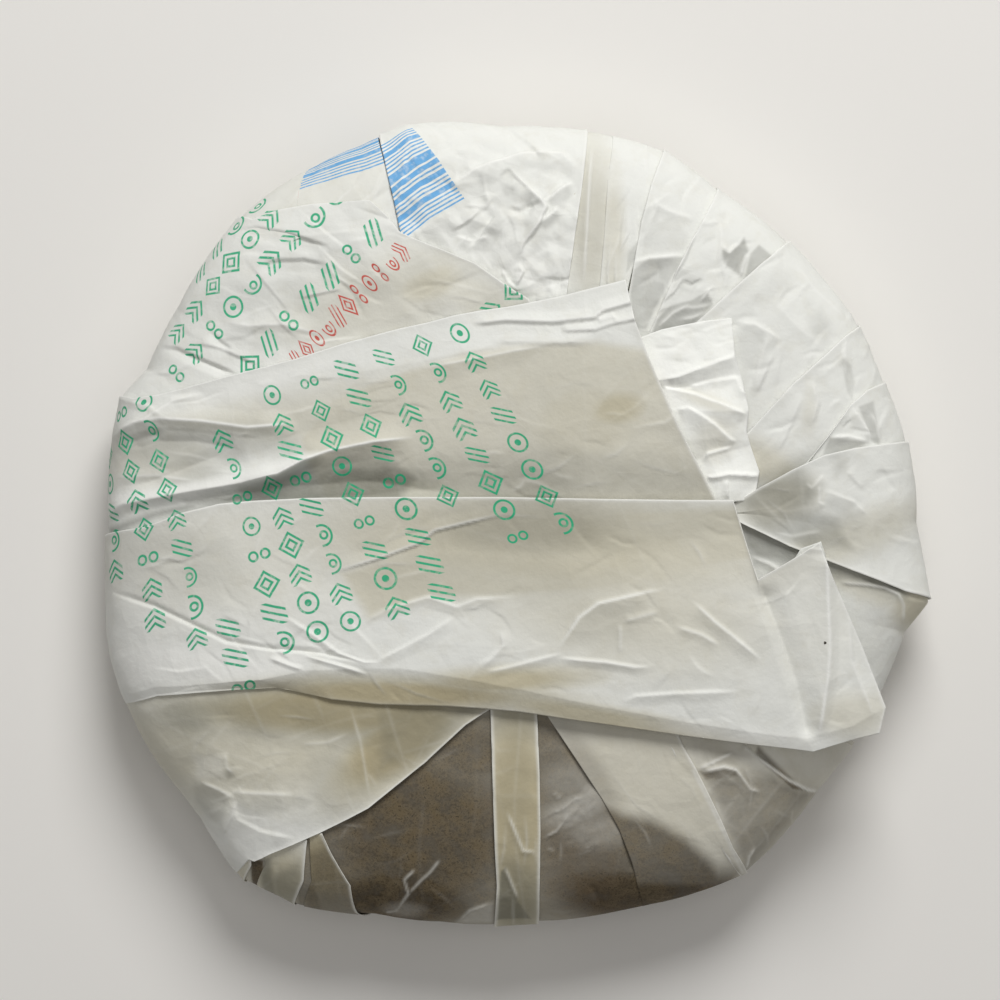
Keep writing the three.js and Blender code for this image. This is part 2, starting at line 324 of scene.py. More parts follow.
def new_piece(name, vertices, faces, material):
    mesh = bpy.data.meshes.new(name)
    mesh.from_pydata((vertices * MM).tolist(), [], faces)
    mesh.update()
    mesh.polygons.foreach_set("use_smooth", [True] * len(mesh.polygons))
    piece = bpy.data.objects.new(name, mesh)
    bpy.context.scene.collection.objects.link(piece)
    mesh.materials.append(material)
    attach(piece, "root")
    return piece


def paint(piece, name, values):
    layer = piece.data.attributes.new(name, "FLOAT", "POINT")
    layer.data.foreach_set("value", np.asarray(values, dtype=np.float32))


def paint_ink(piece, values):
    layer = piece.data.attributes.new("ink", "FLOAT_VECTOR", "POINT")
    layer.data.foreach_set("vector", np.asarray(values, dtype=np.float32).ravel())


def resample(rails, spacing):
    """Fills in a grid between rails, each a list of as many (x, y, height) corners."""
    rails = np.array(rails, dtype=float)
    spans = np.hypot(*np.moveaxis(np.diff(rails, axis=1)[..., :2], -1, 0)).max(axis=0)
    columns = [0.0]
    for k, span in enumerate(spans):
        steps = max(1, int(round(span / spacing)))
        columns.extend(k + (i + 1) / steps for i in range(steps))
    gaps = np.hypot(*np.moveaxis(np.diff(rails, axis=0)[..., :2], -1, 0)).max(axis=1)
    rows = [0.0]
    for k, gap in enumerate(gaps):
        steps = max(1, int(round(gap / spacing)))
        rows.extend(k + (i + 1) / steps for i in range(steps))
    columns, rows = np.array(columns), np.array(rows)

    def between(values, places):
        low = np.minimum(places.astype(int), values.shape[0] - 2)
        part = (places - low).reshape((-1,) + (1,) * (values.ndim - 1))
        return values[low] * (1 - part) + values[low + 1] * part

    across = between(rails, rows)
    grid = between(np.swapaxes(across, 0, 1), columns)
    return np.swapaxes(grid, 0, 1)


def grid_normals(grid):
    along = np.gradient(grid, axis=1)
    across = np.gradient(grid, axis=0)
    normal = np.cross(along, across)
    normal /= np.linalg.norm(normal, axis=2, keepdims=True) + 1e-12
    if normal[..., 2].mean() < 0:
        normal = -normal
    return normal


def closed_sheet(top, bottom):
    """Vertices and faces of a thin closed solid between two grids."""
    rows, columns = top.shape[:2]
    count = rows * columns
    index = np.arange(count).reshape(rows, columns)
    a, b = index[:-1, :-1], index[:-1, 1:]
    c, d = index[1:, 1:], index[1:, :-1]
    upper = np.stack([a, d, c, b], axis=-1).reshape(-1, 4)
    lower = np.stack([a, b, c, d], axis=-1).reshape(-1, 4) + count
    ring = np.concatenate([
        index[0, :-1], index[:-1, -1], index[-1, ::-1][:-1], index[::-1, 0][:-1]])
    after = np.roll(ring, -1)
    side = np.stack([ring, after, after + count, ring + count], axis=-1)
    first = top[1, 0] - top[0, 0]
    second = top[0, 1] - top[0, 0]
    faces = np.concatenate([upper, lower, side])
    if np.cross(first, second) @ (top[0, 0] - bottom[0, 0]) < 0:
        faces = faces[:, ::-1]
    vertices = np.concatenate([top.reshape(-1, 3), bottom.reshape(-1, 3)])
    return vertices, faces.tolist()


def edge_distance(grid):
    """How far each point is, along the sheet, from its four sides: the first and last rail,
    the start and the end."""
    down = np.linalg.norm(np.diff(grid, axis=0), axis=2)
    down = np.concatenate([np.zeros((1, grid.shape[1])), np.cumsum(down, axis=0)])
    along = np.linalg.norm(np.diff(grid, axis=1), axis=2)
    along = np.concatenate([np.zeros((grid.shape[0], 1)), np.cumsum(along, axis=1)], axis=1)
    return {"first": down, "last": down[-1] - down, "start": along,
            "end": along[:, -1:] - along}


# Painted highlight along free edges: its strength and width.
EDGE_HIGHLIGHT = 0.65
EDGE_WIDTH = 0.3
CURL_HEIGHT = 0.16
CURL_REACH = 0.7
LUMP_SIZE = 8.5
LUMP_HEIGHT = 0.22
FACET_HEIGHT = 0.45
# Painted highlight on the creases between facets.
FACET_HIGHLIGHT = 0.2
CALM_AT_RIM = 0.7
# How far the painted highlight clears the other tints.
TINT_LIFTED_BY_HIGHLIGHT = 0.6
FLAP_EASE = 12.0


# Of a sheet's three tint lists, the first darkens it where the tea shows through and as painted
# shade in folds, valleys and under edges; the second makes it beige for stains and layered paper
# and as painted shade; the last is painted highlight and paler patches.
def lay_sheet(name, rails, material, seed, creases=(), curled=(), tea=(), stain_and_shade=(), pale=(),
              ink=None, rim=ROUND_RIM, on_flap=False, rough=0.05, cell=CELL,
              crushed=((7.0, 0.3), (3.2, 0.07)), least=0.08, at_rim=0.5):
    """A sheet of paper over the cake. Rails are lists of corners with heights over the back, and
    go on round the rim by that length. On the flap, heights to the right of the middle are over
    the level of the back. Crushed is a list of facet sizes and heights, least is the lowest
    height, and at_rim what is left of it there."""
    lay = flat_rail if on_flap else rail
    grid = resample([lay(corners, rim) for corners in rails], cell)
    shape = grid.shape[:2]
    spots = grid[..., :2].reshape(-1, 2)
    lift = grid[..., 2].reshape(-1)
    place, normal = wrap_frame(spots)
    near_rim = smooth(RIM_RUN - 14, RIM_RUN - 2, np.hypot(spots[:, 0], spots[:, 1]))
    if on_flap:
        free = smooth(0.0, FLAP_EASE, spots[:, 0])
        level = np.column_stack([spots, np.full(len(spots), BACK_HEIGHT)])
        place = place * (1 - free[:, None]) + level * free[:, None]
        normal = normal * (1 - free[:, None]) + np.outer(free, (0.0, 0.0, 1.0))
        near_rim *= 1 - free
    plan = place[:, :2].copy()
    raised, crest_highlight = relief(plan, creases)
    lift = lift + raised
    for size, height in crushed:
        plane, border = facets(spots, size, seed)
        lift = lift + FACET_HEIGHT * height * plane * (1 - CALM_AT_RIM * near_rim)
        crest_highlight = np.maximum(crest_highlight, FACET_HIGHLIGHT * height * border)
    lift = np.maximum(lift, least) * (1 - (1 - at_rim) * near_rim)
    lift = lift + LUMP_HEIGHT * lumps(place, LUMP_SIZE, 1)
    lift = lift + rough * lumps(place, 2.6, 20 + seed)
    sides = edge_distance(place.reshape(shape + (3,)))
    inward = np.full(len(spots), FAR)
    for side in curled:
        inward = np.minimum(inward, sides[side].reshape(-1))
    lift = lift + CURL_HEIGHT * np.exp(-inward / CURL_REACH)
    top = (place + normal * lift[:, None]).reshape(shape + (3,))
    bottom = top - grid_normals(top) * PAPER
    piece = new_piece(name, *closed_sheet(top, bottom), material)
    # Painted highlight along free edges and over the listed light patches, which also clears the
    # two tints there.
    crest_highlight = np.maximum(crest_highlight, EDGE_HIGHLIGHT * np.exp(-(inward / EDGE_WIDTH) ** 2))
    crest_highlight = np.maximum(crest_highlight, tint(plan, pale))
    bare = 1 - TINT_LIFTED_BY_HIGHLIGHT * crest_highlight
    # Dark tint of tea showing through and painted shade; beige tint of stains, layered paper and
    # painted shade.
    paint(piece, "tea", np.tile(tint(plan, tea) * bare, 2))
    paint(piece, "stain_and_shade", np.tile(tint(plan, stain_and_shade) * bare, 2))
    paint(piece, "crest_highlight", np.tile(crest_highlight, 2))
    if ink is not None:
        paint_ink(piece, np.tile(ink(spots), (2, 1)))


def rail(corners, rim):
    """Corners (x px, y px, height mm) in the plan, moved onto the laid out wrapper. The first
    one is carried on round the rim."""
    spots = to_wrap(photo(*[c[:2] for c in corners]))
    if rim:
        spots[:1] = over_rim(spots[:1], rim)
    return np.column_stack([spots, [c[2] for c in corners]])


def flat_rail(corners, rim):
    """As rail, for the raised flap: to the right of the middle it keeps to the plan."""
    laid = rail(corners, rim)
    plan = photo(*[c[:2] for c in corners])
    right = plan[:, 0] > 0
    laid[right, :2] = plan[right]
    return laid


def at_height(height, *pixels):
    return [(x, y, height) for x, y in pixels]


# Shader maths

def math_method(operation, swapped=False):
    def method(self, other):
        first, second = (other, self) if swapped else (self, other)
        return self.tree.add("ShaderNodeMath", {"operation": operation}, {0: first, 1: second})

    return method


class Socket:
    """An output in a node tree, which can be used in sums."""

    __add__ = math_method("ADD")
    __radd__ = math_method("ADD", swapped=True)
    __sub__ = math_method("SUBTRACT")
    __rsub__ = math_method("SUBTRACT", swapped=True)
    __mul__ = math_method("MULTIPLY")
    __rmul__ = math_method("MULTIPLY", swapped=True)
    __truediv__ = math_method("DIVIDE")
    __lt__ = math_method("LESS_THAN")
    __gt__ = math_method("GREATER_THAN")
    most = math_method("MAXIMUM")
    power = math_method("POWER")

    def __init__(self, tree, output):
        self.tree = tree
        self.output = output

    def __abs__(self):
        return self.tree.add("ShaderNodeMath", {"operation": "ABSOLUTE"}, {0: self})

    def floor(self):
        return self.tree.add("ShaderNodeMath", {"operation": "FLOOR"}, {0: self})

    def ease(self, low, high):
        return self.tree.add("ShaderNodeMapRange", {"interpolation_type": "SMOOTHSTEP"},
                             {"Value": self, "From Min": low, "From Max": high})


class Finish:
    """The node tree of one material."""

    def __init__(self, name):
        self.material = bpy.data.materials.new(name)
        self.material.use_nodes = True
        self.nodes = self.material.node_tree.nodes
        self.links = self.material.node_tree.links
        self.shader = self.nodes["Principled BSDF"]

    def add(self, kind, settings=None, inputs=None, output=0):
        node = self.nodes.new(kind)
        for key, value in (settings or {}).items():
            setattr(node, key, value)
        for key, value in (inputs or {}).items():
            self.feed(node.inputs[key], value)
        return Socket(self, node.outputs[output])

    def feed(self, target, value):
        if isinstance(value, Socket):
            self.links.new(value.output, target)
        else:
            target.default_value = value

    def mix_color(self, factor, first, second):
        return self.add("ShaderNodeMix", {"data_type": "RGBA"},
                        {0: factor, 6: first, 7: second}, output=2)

    def attribute(self, name, output="Fac"):
        return self.add("ShaderNodeAttribute", {"attribute_name": name}, output=output)

    def noise(self, place, scale, detail=3.0, roughness=0.55):
        return self.add("ShaderNodeTexNoise", {}, {
            "Vector": place, "Scale": scale, "Detail": detail, "Roughness": roughness})

    def noise_vector(self, place, scale, reach):
        """The place, shifted at random by up to about half the reach."""
        shift = self.add("ShaderNodeTexNoise", {}, {"Vector": place, "Scale": scale}, output=1)
        shift = self.add("ShaderNodeVectorMath", {"operation": "SCALE"}, {0: shift, 3: reach})
        return self.add("ShaderNodeVectorMath", {"operation": "ADD"}, {0: place, 1: shift})

    def facets(self, place, scale):
        return self.add("ShaderNodeTexVoronoi", {"distance": "CHEBYCHEV"},
                        {"Vector": place, "Scale": scale})

    def chance(self, first, second):
        """A random number for each pair of whole numbers."""
        pair = self.add("ShaderNodeCombineXYZ", {}, {0: first, 1: second})
        return self.add("ShaderNodeTexWhiteNoise", {"noise_dimensions": "2D"}, {"Vector": pair})

    def finish(self, color, roughness, normal):
        self.feed(self.shader.inputs["Base Color"], color)
        self.feed(self.shader.inputs["Roughness"], roughness)
        self.feed(self.shader.inputs["Normal"], normal)
        return self.material


def rgb(red, green, blue):
    """A colour given as it looks on a screen, from 0 to 255."""
    linear = [((v / 255 + 0.055) / 1.055) ** 2.4 if v > 10 else v / 3294.6 for v in
              (red, green, blue)]
    return (*linear, 1.0)


PAPER_WHITE = rgb(235, 236, 231)
# White of the painted highlight along crests and free edges.
HIGHLIGHT_WHITE = rgb(249, 249, 245)
PAPER_WARM = rgb(197, 189, 161)
# Deeper beige where the beige tint is strongest: real stains, and painted shade on the flap's
# turned-under band and below the flap.
PAPER_STAIN_AND_SHADE = rgb(184, 168, 128)
TEA_PALE = rgb(108, 95, 72)
TEA_DARK = rgb(66, 55, 38)
TEA_DEEP = rgb(34, 27, 18)
TEA_RED = rgb(92, 78, 62)
# Neutral grey on plain paper where tea shows through one layer, also serving as painted shade in
# folds and under edges.
TEA_THROUGH_AND_SHADE = rgb(104, 104, 94)
GREEN_INK = rgb(34, 176, 128)
RED_INK = rgb(206, 84, 72)
BLUE_INK = rgb(40, 158, 224)

MARK_PITCH = 4.1
ROW_PITCH = 4.6
NARROW_PITCH = MARK_PITCH / 2
STRIPE_PITCH = 0.52
STRIPED_FIELD = 13.0


def within(value, low, high):
    return (value > low) * (value < high)


def mark_shapes(finish, along, across, pitch, row_pitch):
    """Small plain ornaments in rows: rings, lozenges, slanted bars, chevrons and loops."""
    column, row = (along / pitch).floor(), (across / row_pitch).floor()
    x = (along / pitch - column - 0.5) * MARK_PITCH
    y = (across / row_pitch - row - 0.5) * ROW_PITCH
    choice = (finish.chance(column, row) * 6.0).floor()
    size = 0.95 + 0.2 * finish.chance(row, column + 31.7)
    x, y = x / size, y / size
    line, edge = 0.15, 0.06

    def stroke(distance):
        return 1 - abs(distance).ease(line - edge, line + edge)

    def reach(first, second):
        return (first * first + second * second).power(0.5)

    far = reach(x, y)
    diamond = (abs(x) + abs(y)) * 0.72
    inside = 1 - abs(x).most(abs(y)).ease(1.4, 1.5)
    slant = (x + y * 0.55) * 0.88
    arrow = (abs(y) * 0.8 + x) * 0.78
    shapes = [
        stroke(far - 1.25).most(1 - far.ease(0.38, 0.5)),
        stroke(diamond - 1.1).most(stroke(diamond - 0.5)),
        stroke(abs(slant) - 0.8).most(stroke(slant)) * inside,
        stroke(arrow - 0.95).most(stroke(arrow - 0.25)).most(stroke(arrow + 0.45)) * inside,
        stroke(reach(x, abs(y) - 0.8) - 0.55),
        (stroke(far - 1.3) * (y > -0.3)).most(stroke(reach(x, y - 0.3) - 0.45)),
    ]
    total = 0.0
    for k, shape in enumerate(shapes):
        total = within(choice, k - 0.5, k + 0.5) * shape + total
    return total


def printed(finish, color, place):
    """Lays the print over the paper's colour. The ink attribute holds the distance along a row,
    the distance across the rows, and which ink: 1 green, 2 red, 3 blue stripes."""
    ink = finish.attribute("ink", output="Vector")
    parts = [finish.add("ShaderNodeSeparateXYZ", {}, {0: ink}, output=k) for k in range(3)]
    along, across, kind = parts
    faint = 0.5 + 0.45 * finish.noise(place, 900.0, 2.0, 0.7).ease(0.30, 0.52)
    green = within(kind, 0.75, 1.25) * mark_shapes(finish, along, across, MARK_PITCH, ROW_PITCH)
    red = within(kind, 1.75, 2.25) * mark_shapes(finish, along, across, NARROW_PITCH, ROW_PITCH)
    stripe = (across / STRIPE_PITCH).floor()
    part = across / STRIPE_PITCH - stripe
    solid = finish.chance(stripe, 5.0) > 0.66
    field = within(along, -STRIPED_FIELD, 0.0) * within(across, -STRIPED_FIELD, 0.0)
    field = (kind > 2.75) * field
    blue = field * (solid * 0.85).most((1 - part.ease(0.38, 0.48)) * 0.85)
    color = finish.mix_color(green * faint, color, GREEN_INK)
    color = finish.mix_color(red * faint, color, RED_INK)
    return finish.mix_color(blue * (0.3 + 0.7 * faint), color, BLUE_INK)


def paper_finish(name, white=PAPER_WHITE, with_print=False, over_tea=False, crushed=0.3):
    """Thin matt paper. The tea attribute is how dark the tea shows through it, together with
    painted shade in folds and under edges; a second attribute is how stained or layered it is,
    together with painted shade; a third is a painted highlight along crests and free edges."""
    finish = Finish(name)
    place = finish.add("ShaderNodeTexCoord", output="Object")
    tea = finish.attribute("tea")
    stain_and_shade = finish.attribute("stain_and_shade")
    crest_highlight = finish.attribute("crest_highlight")
    broad = finish.noise(place, 60.0, 2.0, 0.5)
    fine = finish.noise(place, 1100.0, 2.0, 0.6)
    leaves = finish.noise(place, 330.0, 3.0, 0.65)
    # Beige for stains and layered paper and for painted shade, deeper where strongest, then faint
    # random mottling.
    color = finish.mix_color(stain_and_shade * (0.9 + 0.2 * broad), white, PAPER_WARM)
    color = finish.mix_color(stain_and_shade.ease(0.7, 1.1) * 0.6, color, PAPER_STAIN_AND_SHADE)
    color = finish.mix_color(leaves.ease(0.45, 0.75) * 0.12, color, PAPER_WARM)
    if over_tea:
        grains = finish.noise(place, 2400.0, 3.0, 0.7)
        leaf_mottle = (grains * 0.5 + leaves * 0.5).ease(0.40, 0.60)
        tea_color = finish.mix_color(leaf_mottle, TEA_DARK, TEA_PALE)
        tea_color = finish.mix_color(broad.ease(0.50, 0.66) * 0.4, tea_color, TEA_RED)
        tea_color = finish.mix_color(grains.ease(0.57, 0.64) * 0.7, tea_color, TEA_DEEP)
        crest_highlight = crest_highlight * (0.5 + fine)
    else:
        tea_color = TEA_THROUGH_AND_SHADE
    # Darkened where tea shows through, and by painted shade.
    color = finish.mix_color(tea * (0.85 + 0.3 * leaves), color, tea_color)
    # Painted highlight along crests and free edges.
    color = finish.mix_color(crest_highlight * 0.75, color, HIGHLIGHT_WHITE)
    if with_print:
        color = printed(finish, color, place)
    planes = finish.facets(finish.noise_vector(place, 110.0, 0.010), 190.0)
    bump = finish.add("ShaderNodeBump", {}, {"Strength": 1.0, "Distance": 0.0006,
                                             "Height": planes * crushed + fine * 0.10})
    finish.shader.inputs["Specular IOR Level"].default_value = 0.35
    return finish.finish(color, 0.72 + 0.18 * fine, bump)


plain_paper = paper_finish("plain_paper")
# A whiter copy of the paper for the crumpled bunch: painted light, as its faces catch more light
# than the rest.
painted_lit_paper = paper_finish("painted_lit_paper", white=rgb(248, 249, 244))
printed_paper = paper_finish("printed_paper", with_print=True)
crushed_paper = paper_finish("crushed_paper", with_print=True, crushed=0.6)
body_paper = paper_finish("thin_paper_over_tea", white=rgb(218, 216, 206), over_tea=True,
                          crushed=0.35)


# Wrapped body, with the innermost paper drawn over the tea

FAINT_CREASES = 46
SUNK_UNDER_LAYERS = 0.7


def make_body():
    whole = PROFILE["run"][-1]
    rows = np.concatenate([
        np.linspace(14.0, 30.0, 20)[:-1],
        np.linspace(30.0, whole - 34.0, int((whole - 64) / BODY_CELL)),
        np.linspace(whole - 34.0, whole - 3.0, 26)[1:],
    ])
    angles = np.linspace(-math.pi, math.pi, BODY_SPOKES, endpoint=False)
    run, angle = np.meshgrid(rows, angles, indexing="ij")
    spots = np.stack([run * np.cos(angle), run * np.sin(angle)], axis=-1).reshape(-1, 2)
    place, normal = wrap_frame(spots)
    run = run.reshape(-1)

    rng = np.random.default_rng(11)
    radial = []
    for k in range(FAINT_CREASES):
        turn = 2 * math.pi * (k + rng.uniform(-0.35, 0.35)) / FAINT_CREASES
        start, end = rng.uniform(44, 56), rng.uniform(RIM_RUN + 8, RIM_RUN + 20)
        lean = rng.uniform(-0.05, 0.05)
        line = [(start * math.cos(turn), start * math.sin(turn)),
                (end * math.cos(turn + lean), end * math.sin(turn + lean))]
        narrow, wide = rng.uniform(0.35, 0.7), rng.uniform(2.0, 4.5)
        if rng.random() < 0.5:
            narrow, wide = wide, narrow
        radial.append(crease(line, rng.uniform(0.25, 0.6), narrow, wide, 0.3))
    lift, _ = relief(spots, radial)
    lift += LUMP_HEIGHT * lumps(place, LUMP_SIZE, 1) + 0.05 * lumps(place, 2.2, 5)
    lift -= SUNK_UNDER_LAYERS * smooth(RIM_RUN + 10, RIM_RUN + 6, run)
    lift *= smooth(whole - REST_RADIUS - 1, whole - REST_RADIUS - 12, run)
    vertices = place + normal * lift[:, None]
    vertices[:, 2] = np.maximum(vertices[:, 2], 0.0)
    middles = np.array([[0.0, 0.0, BACK_HEIGHT - NAVEL_DEPTH], [0.0, 0.0, 0.0]])
    vertices = np.concatenate([vertices, middles])
    index = np.arange(len(rows) * BODY_SPOKES).reshape(len(rows), BODY_SPOKES)
    after = np.roll(index, -1, axis=1)
    faces = np.stack([index[:-1], index[1:], after[1:], after[:-1]], axis=-1).reshape(-1, 4)
    faces = faces.tolist()
    top, bottom = len(vertices) - 2, len(vertices) - 1
    faces += [[int(a), int(b), top] for a, b in zip(index[0], after[0])]
    faces += [[int(b), int(a), bottom] for a, b in zip(index[-1], after[-1])]
    body = new_piece("wrapped_body", vertices, faces, body_paper)
    plan = np.concatenate([place[:, :2], np.zeros((2, 2))])
    run = np.concatenate([run, [0.0, whole]])
    on_back = smooth(RIM_RUN + 3, RIM_RUN - 2, run)
    faint = 0.16 + 0.06 * lumps(vertices, 11.0, 9)
    paint(body, "tea", tint(plan, TEA_SHOWN) * on_back + faint * (1 - on_back))
    paint(body, "crest_highlight", np.zeros(len(vertices)))
    paint(body, "stain_and_shade", 0.25 + 0.1 * lumps(vertices, 14.0, 8))
    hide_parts("wrapped_tea_cake")


TEA_SHOWN = [
    area(0.95, (252, 855), (265, 858), (268, 892), (252, 890)),
    area(0.7, (298, 850), (314, 850), (312, 910), (298, 908)),
    (420, 830, 150, 130, 0, 0.95), (470, 750, 70, 50, 0, 0.88), (400, 895, 110, 50, 0, 1.0),
    (610, 850, 130, 100, 0, 0.86), (640, 900, 140, 50, -14, 1.0), (555, 760, 90, 80, 0, 0.8),
    (790, 790, 90, 70, -35, 0.6),
]
make_body()


# Print on the paper

def print_rows(turn, origin, rows, taper=0.0):
    """Rows of marks at an angle on the wrapper laid out flat. Each row is (its distance across,
    first and last mark, ink). The rows draw nearer to each other by the taper."""
    c, s = math.cos(math.radians(turn)), math.sin(math.radians(turn))
    start = to_wrap(photo(origin))[0]
    centres = np.array([row[0] for row in rows])
    borders = (centres[1:] + centres[:-1]) / 2
    half = ROW_PITCH / 2

    def place(spots):
        away = spots - start
        along = away[:, 0] * c + away[:, 1] * s
        across = (away[:, 0] * s - away[:, 1] * c) / (1 - along * taper)
        row = np.searchsorted(borders, across)
        aside = np.clip(across - centres[row], -half, half)
        mark = along / MARK_PITCH
        kind = np.zeros(len(spots))
        for index, (_, first, last, ink) in enumerate(rows):
            inside = (row == index) & (abs(aside) < half)
            inside &= (mark > first - 0.5) & (mark < last + 0.5)
            kind = np.where(inside, ink, kind)
        return np.stack([along + MARK_PITCH / 2, row * ROW_PITCH + half + aside, kind], axis=1)

    return place


def striped_field(turn, corner):
    """A field of blue stripes to the left of and above its corner."""
    c, s = math.cos(math.radians(turn)), math.sin(math.radians(turn))
    start = to_wrap(photo(corner))[0]

    def place(spots):
        away = spots - start
        along = away[:, 0] * c + away[:, 1] * s
        across = away[:, 0] * s - away[:, 1] * c
        return np.stack([along, across, np.full(len(spots), 3.0)], axis=1)

    return place


# Layers of paper, from the innermost outwards. Rails start at the rim and run inwards.

UPPER_LEFT_PRINT = print_rows(45.0, (311, 300), [
    (-15.9, -2, 1, 1), (-11.7, -4, 1, 1), (-7.2, -5, 3, 1), (0.0, -3, 3, 1), (4.4, -2, 3, 2),
    (18.6, 4, 5, 1),
])
STRIPES = striped_field(35.0, (466, 203))
FADED_STRIPES = striped_field(15.0, (390, 166))


def rim_print(spots):
    """Green marks, and the faded end of the stripes to the right of them."""
    right = spots[:, 0] > photo((300, 0))[0, 0]
    return np.where(right[:, None], FADED_STRIPES(spots), UPPER_LEFT_PRINT(spots))


def upper_left_layers():
    lay_sheet("upper_left_under", [
            at_height(0.25, (204, 262), (235, 262), (262, 275)),
            at_height(0.25, (222, 240), (250, 240), (285, 250)),
            at_height(0.3, (238, 220), (268, 225), (310, 235)),
            at_height(0.3, (262, 198), (290, 210), (330, 228)),
            at_height(0.3, (297, 175), (318, 200), (350, 225)),
            at_height(0.3, (330, 158), (345, 190), (372, 225)),
            at_height(0.3, (360, 146), (370, 185), (390, 235)),
            at_height(0.25, (380, 133), (388, 175), (404, 240))], printed_paper, 1, ink=rim_print,
        creases=crumple(21, 26, ((220, 140), (400, 240)), 40, 1.2, height=(0.08, 0.28)),
        stain_and_shade=[(330, 190, 90, 50, 35, 0.15)])
    lay_sheet("top_crumpled_sheet", [
            at_height(0.45, (384, 132), (386, 165), (394, 200), (400, 228))
            + at_height(0.0, (410, 290)),
            at_height(0.35, (418, 125), (425, 170), (432, 215), (440, 238))
            + at_height(0.0, (450, 300)),
            at_height(0.35, (453, 126), (458, 175), (465, 215), (475, 250))
            + at_height(0.0, (485, 315)),
            at_height(0.4, (502, 128), (505, 180), (510, 225), (515, 270))
            + at_height(0.0, (520, 315)),
            at_height(0.4, (548, 130), (550, 180), (552, 225), (552, 270), (555, 315)),
            at_height(0.55, (583, 133), (582, 183), (577, 218), (571, 260), (564, 310))],
        crushed_paper, 2, curled=("first", "last"), ink=STRIPES, crushed=((5.0, 1.0), (2.3, 0.3)),
        creases=[
            fold(0.6, (444, 191), (480, 170), (528, 155), (560, 157), (580, 174), left=0.4,
                right=2.6),
            fold(-0.55, (505, 129), (518, 140), (534, 153), (541, 165), right=1.6),
            fold(0.75, (506, 168), (520, 183), (541, 203), (546, 210), (537, 229), (523, 246),
                (517, 264), left=0.4, right=2),
            fold(-0.6, (498, 182), (508, 174), (523, 188), (534, 196), right=1.6),
            fold(-0.5, (507, 211), (520, 214), (534, 207), (544, 206), left=0.4),
            fold(0.55, (544, 206), (560, 192), (573, 184), left=0.35, right=1.8),
            fold(-0.6, (498, 213), (487, 227), (469, 252), right=1.8),
            fold(0.5, (484, 209), (470, 222), (451, 234), left=0.35, right=1.8),
            fold(0.35, (495, 196), (486, 210), (462, 208), left=0.35, right=1.4),
            fold(0.35, (455, 238), (470, 243), (492, 238), left=0.35, right=1.6),
            fold(0.45, (537, 227), (552, 216), (558, 209), left=0.35, right=1.4),
            fold(0.5, (517, 264), (523, 274), (514, 290), left=0.35),
            fold(0.4, (501, 270), (508, 284), (518, 292), left=0.35),
            fold(0.35, (408, 145), (402, 199), (401, 218), (404, 236), right=1.4)]
        + crumple(22, 36, ((405, 130), (580, 300)), length=(2, 8), height=(0.06, 0.22),
            width=(0.6, 2.2)), tea=[
            # Painted shade on facets and in the pockets beside the folds.
            area(0.14, (498, 181), (508, 174), (523, 188), (536, 200), (523, 209), (505, 199)),
            area(0.12, (537, 227), (547, 210), (560, 215), (545, 232)),
            area(0.12, (469, 252), (487, 228), (498, 214), (506, 226), (490, 254)),
            area(0.05, (444, 192), (470, 176), (498, 166), (496, 186), (470, 206), (452, 210))],
        # Painted light over the lower part.
        pale=[(520, 280, 60, 30, 0, 0.4)], cell=0.26)
    lay_sheet("upper_left_printed_sheet", [
            at_height(0.55, (226, 235), (255, 222), (280, 213), (308, 208), (340, 206),
                (371, 204)),
            at_height(0.6, (205, 265), (240, 250), (275, 240), (310, 233), (350, 226), (387, 218)),
            at_height(0.6, (190, 292), (230, 280), (270, 270), (312, 258))
            + at_height(0.95, (356, 246), (402, 236)),
            at_height(0.6, (177, 312), (225, 305), (275, 297), (325, 285))
            + at_height(1.05, (380, 268), (434, 249)),
            at_height(0.6, (157, 343), (220, 335), (285, 325), (345, 308))
            + at_height(1.05, (410, 288), (476, 266)),
            at_height(0.6, (146, 372), (215, 365), (290, 350), (360, 332))
            + at_height(0.95, (435, 312), (512, 291)),
            at_height(0.6, (122, 397), (205, 392), (290, 372), (365, 350))
            + at_height(0.85, (445, 328), (529, 301)),
            at_height(0.4, (118, 430), (205, 420), (290, 400), (370, 377), (450, 355),
                (540, 327))], printed_paper, 3, curled=("first", "end"), ink=UPPER_LEFT_PRINT,
        creases=[
            fold(-0.6, (236, 232), (258, 231), (289, 237), (327, 249), (333, 255), right=2),
            fold(-0.5, (262, 268), (280, 264), (305, 263), (330, 268), right=2.4),
            fold(-0.6, (160, 349), (180, 351), (200, 360), (243, 378), right=1.4),
            fold(0.35, (195, 343), (222, 349), (262, 366), left=2, right=0.38),
            fold(0.4, (222, 322), (250, 328), (285, 326), (330, 338), left=2.2),
            fold(-0.4, (212, 332), (224, 345), (236, 352)),
            fold(0.3, (300, 300), (318, 296), (345, 290), left=1.6, right=0.38)]
        + crumple(23, 40, ((150, 220), (480, 380)), -15, 1.3, height=(0.05, 0.2)), tea=[
            # Painted shade in the fold valleys and just above the flap's top edge.
            (262, 300, 84, 20, 8, 0.15), (330, 298, 60, 18, 12, 0.1), (296, 268, 40, 7, -4, 0.18),
            (300, 244, 44, 7, -14, 0.18), (255, 340, 40, 10, 0, 0.12)], stain_and_shade=[
            # Beige painted shade beside the flap's top edge; then painted highlight along a ridge.
            (390, 300, 110, 45, 20, 0.36), (430, 287, 40, 20, 20, 0.6),
            (480, 300, 60, 24, -20, 0.34)], pale=[(262, 366, 70, 10, 15, 0.4)])


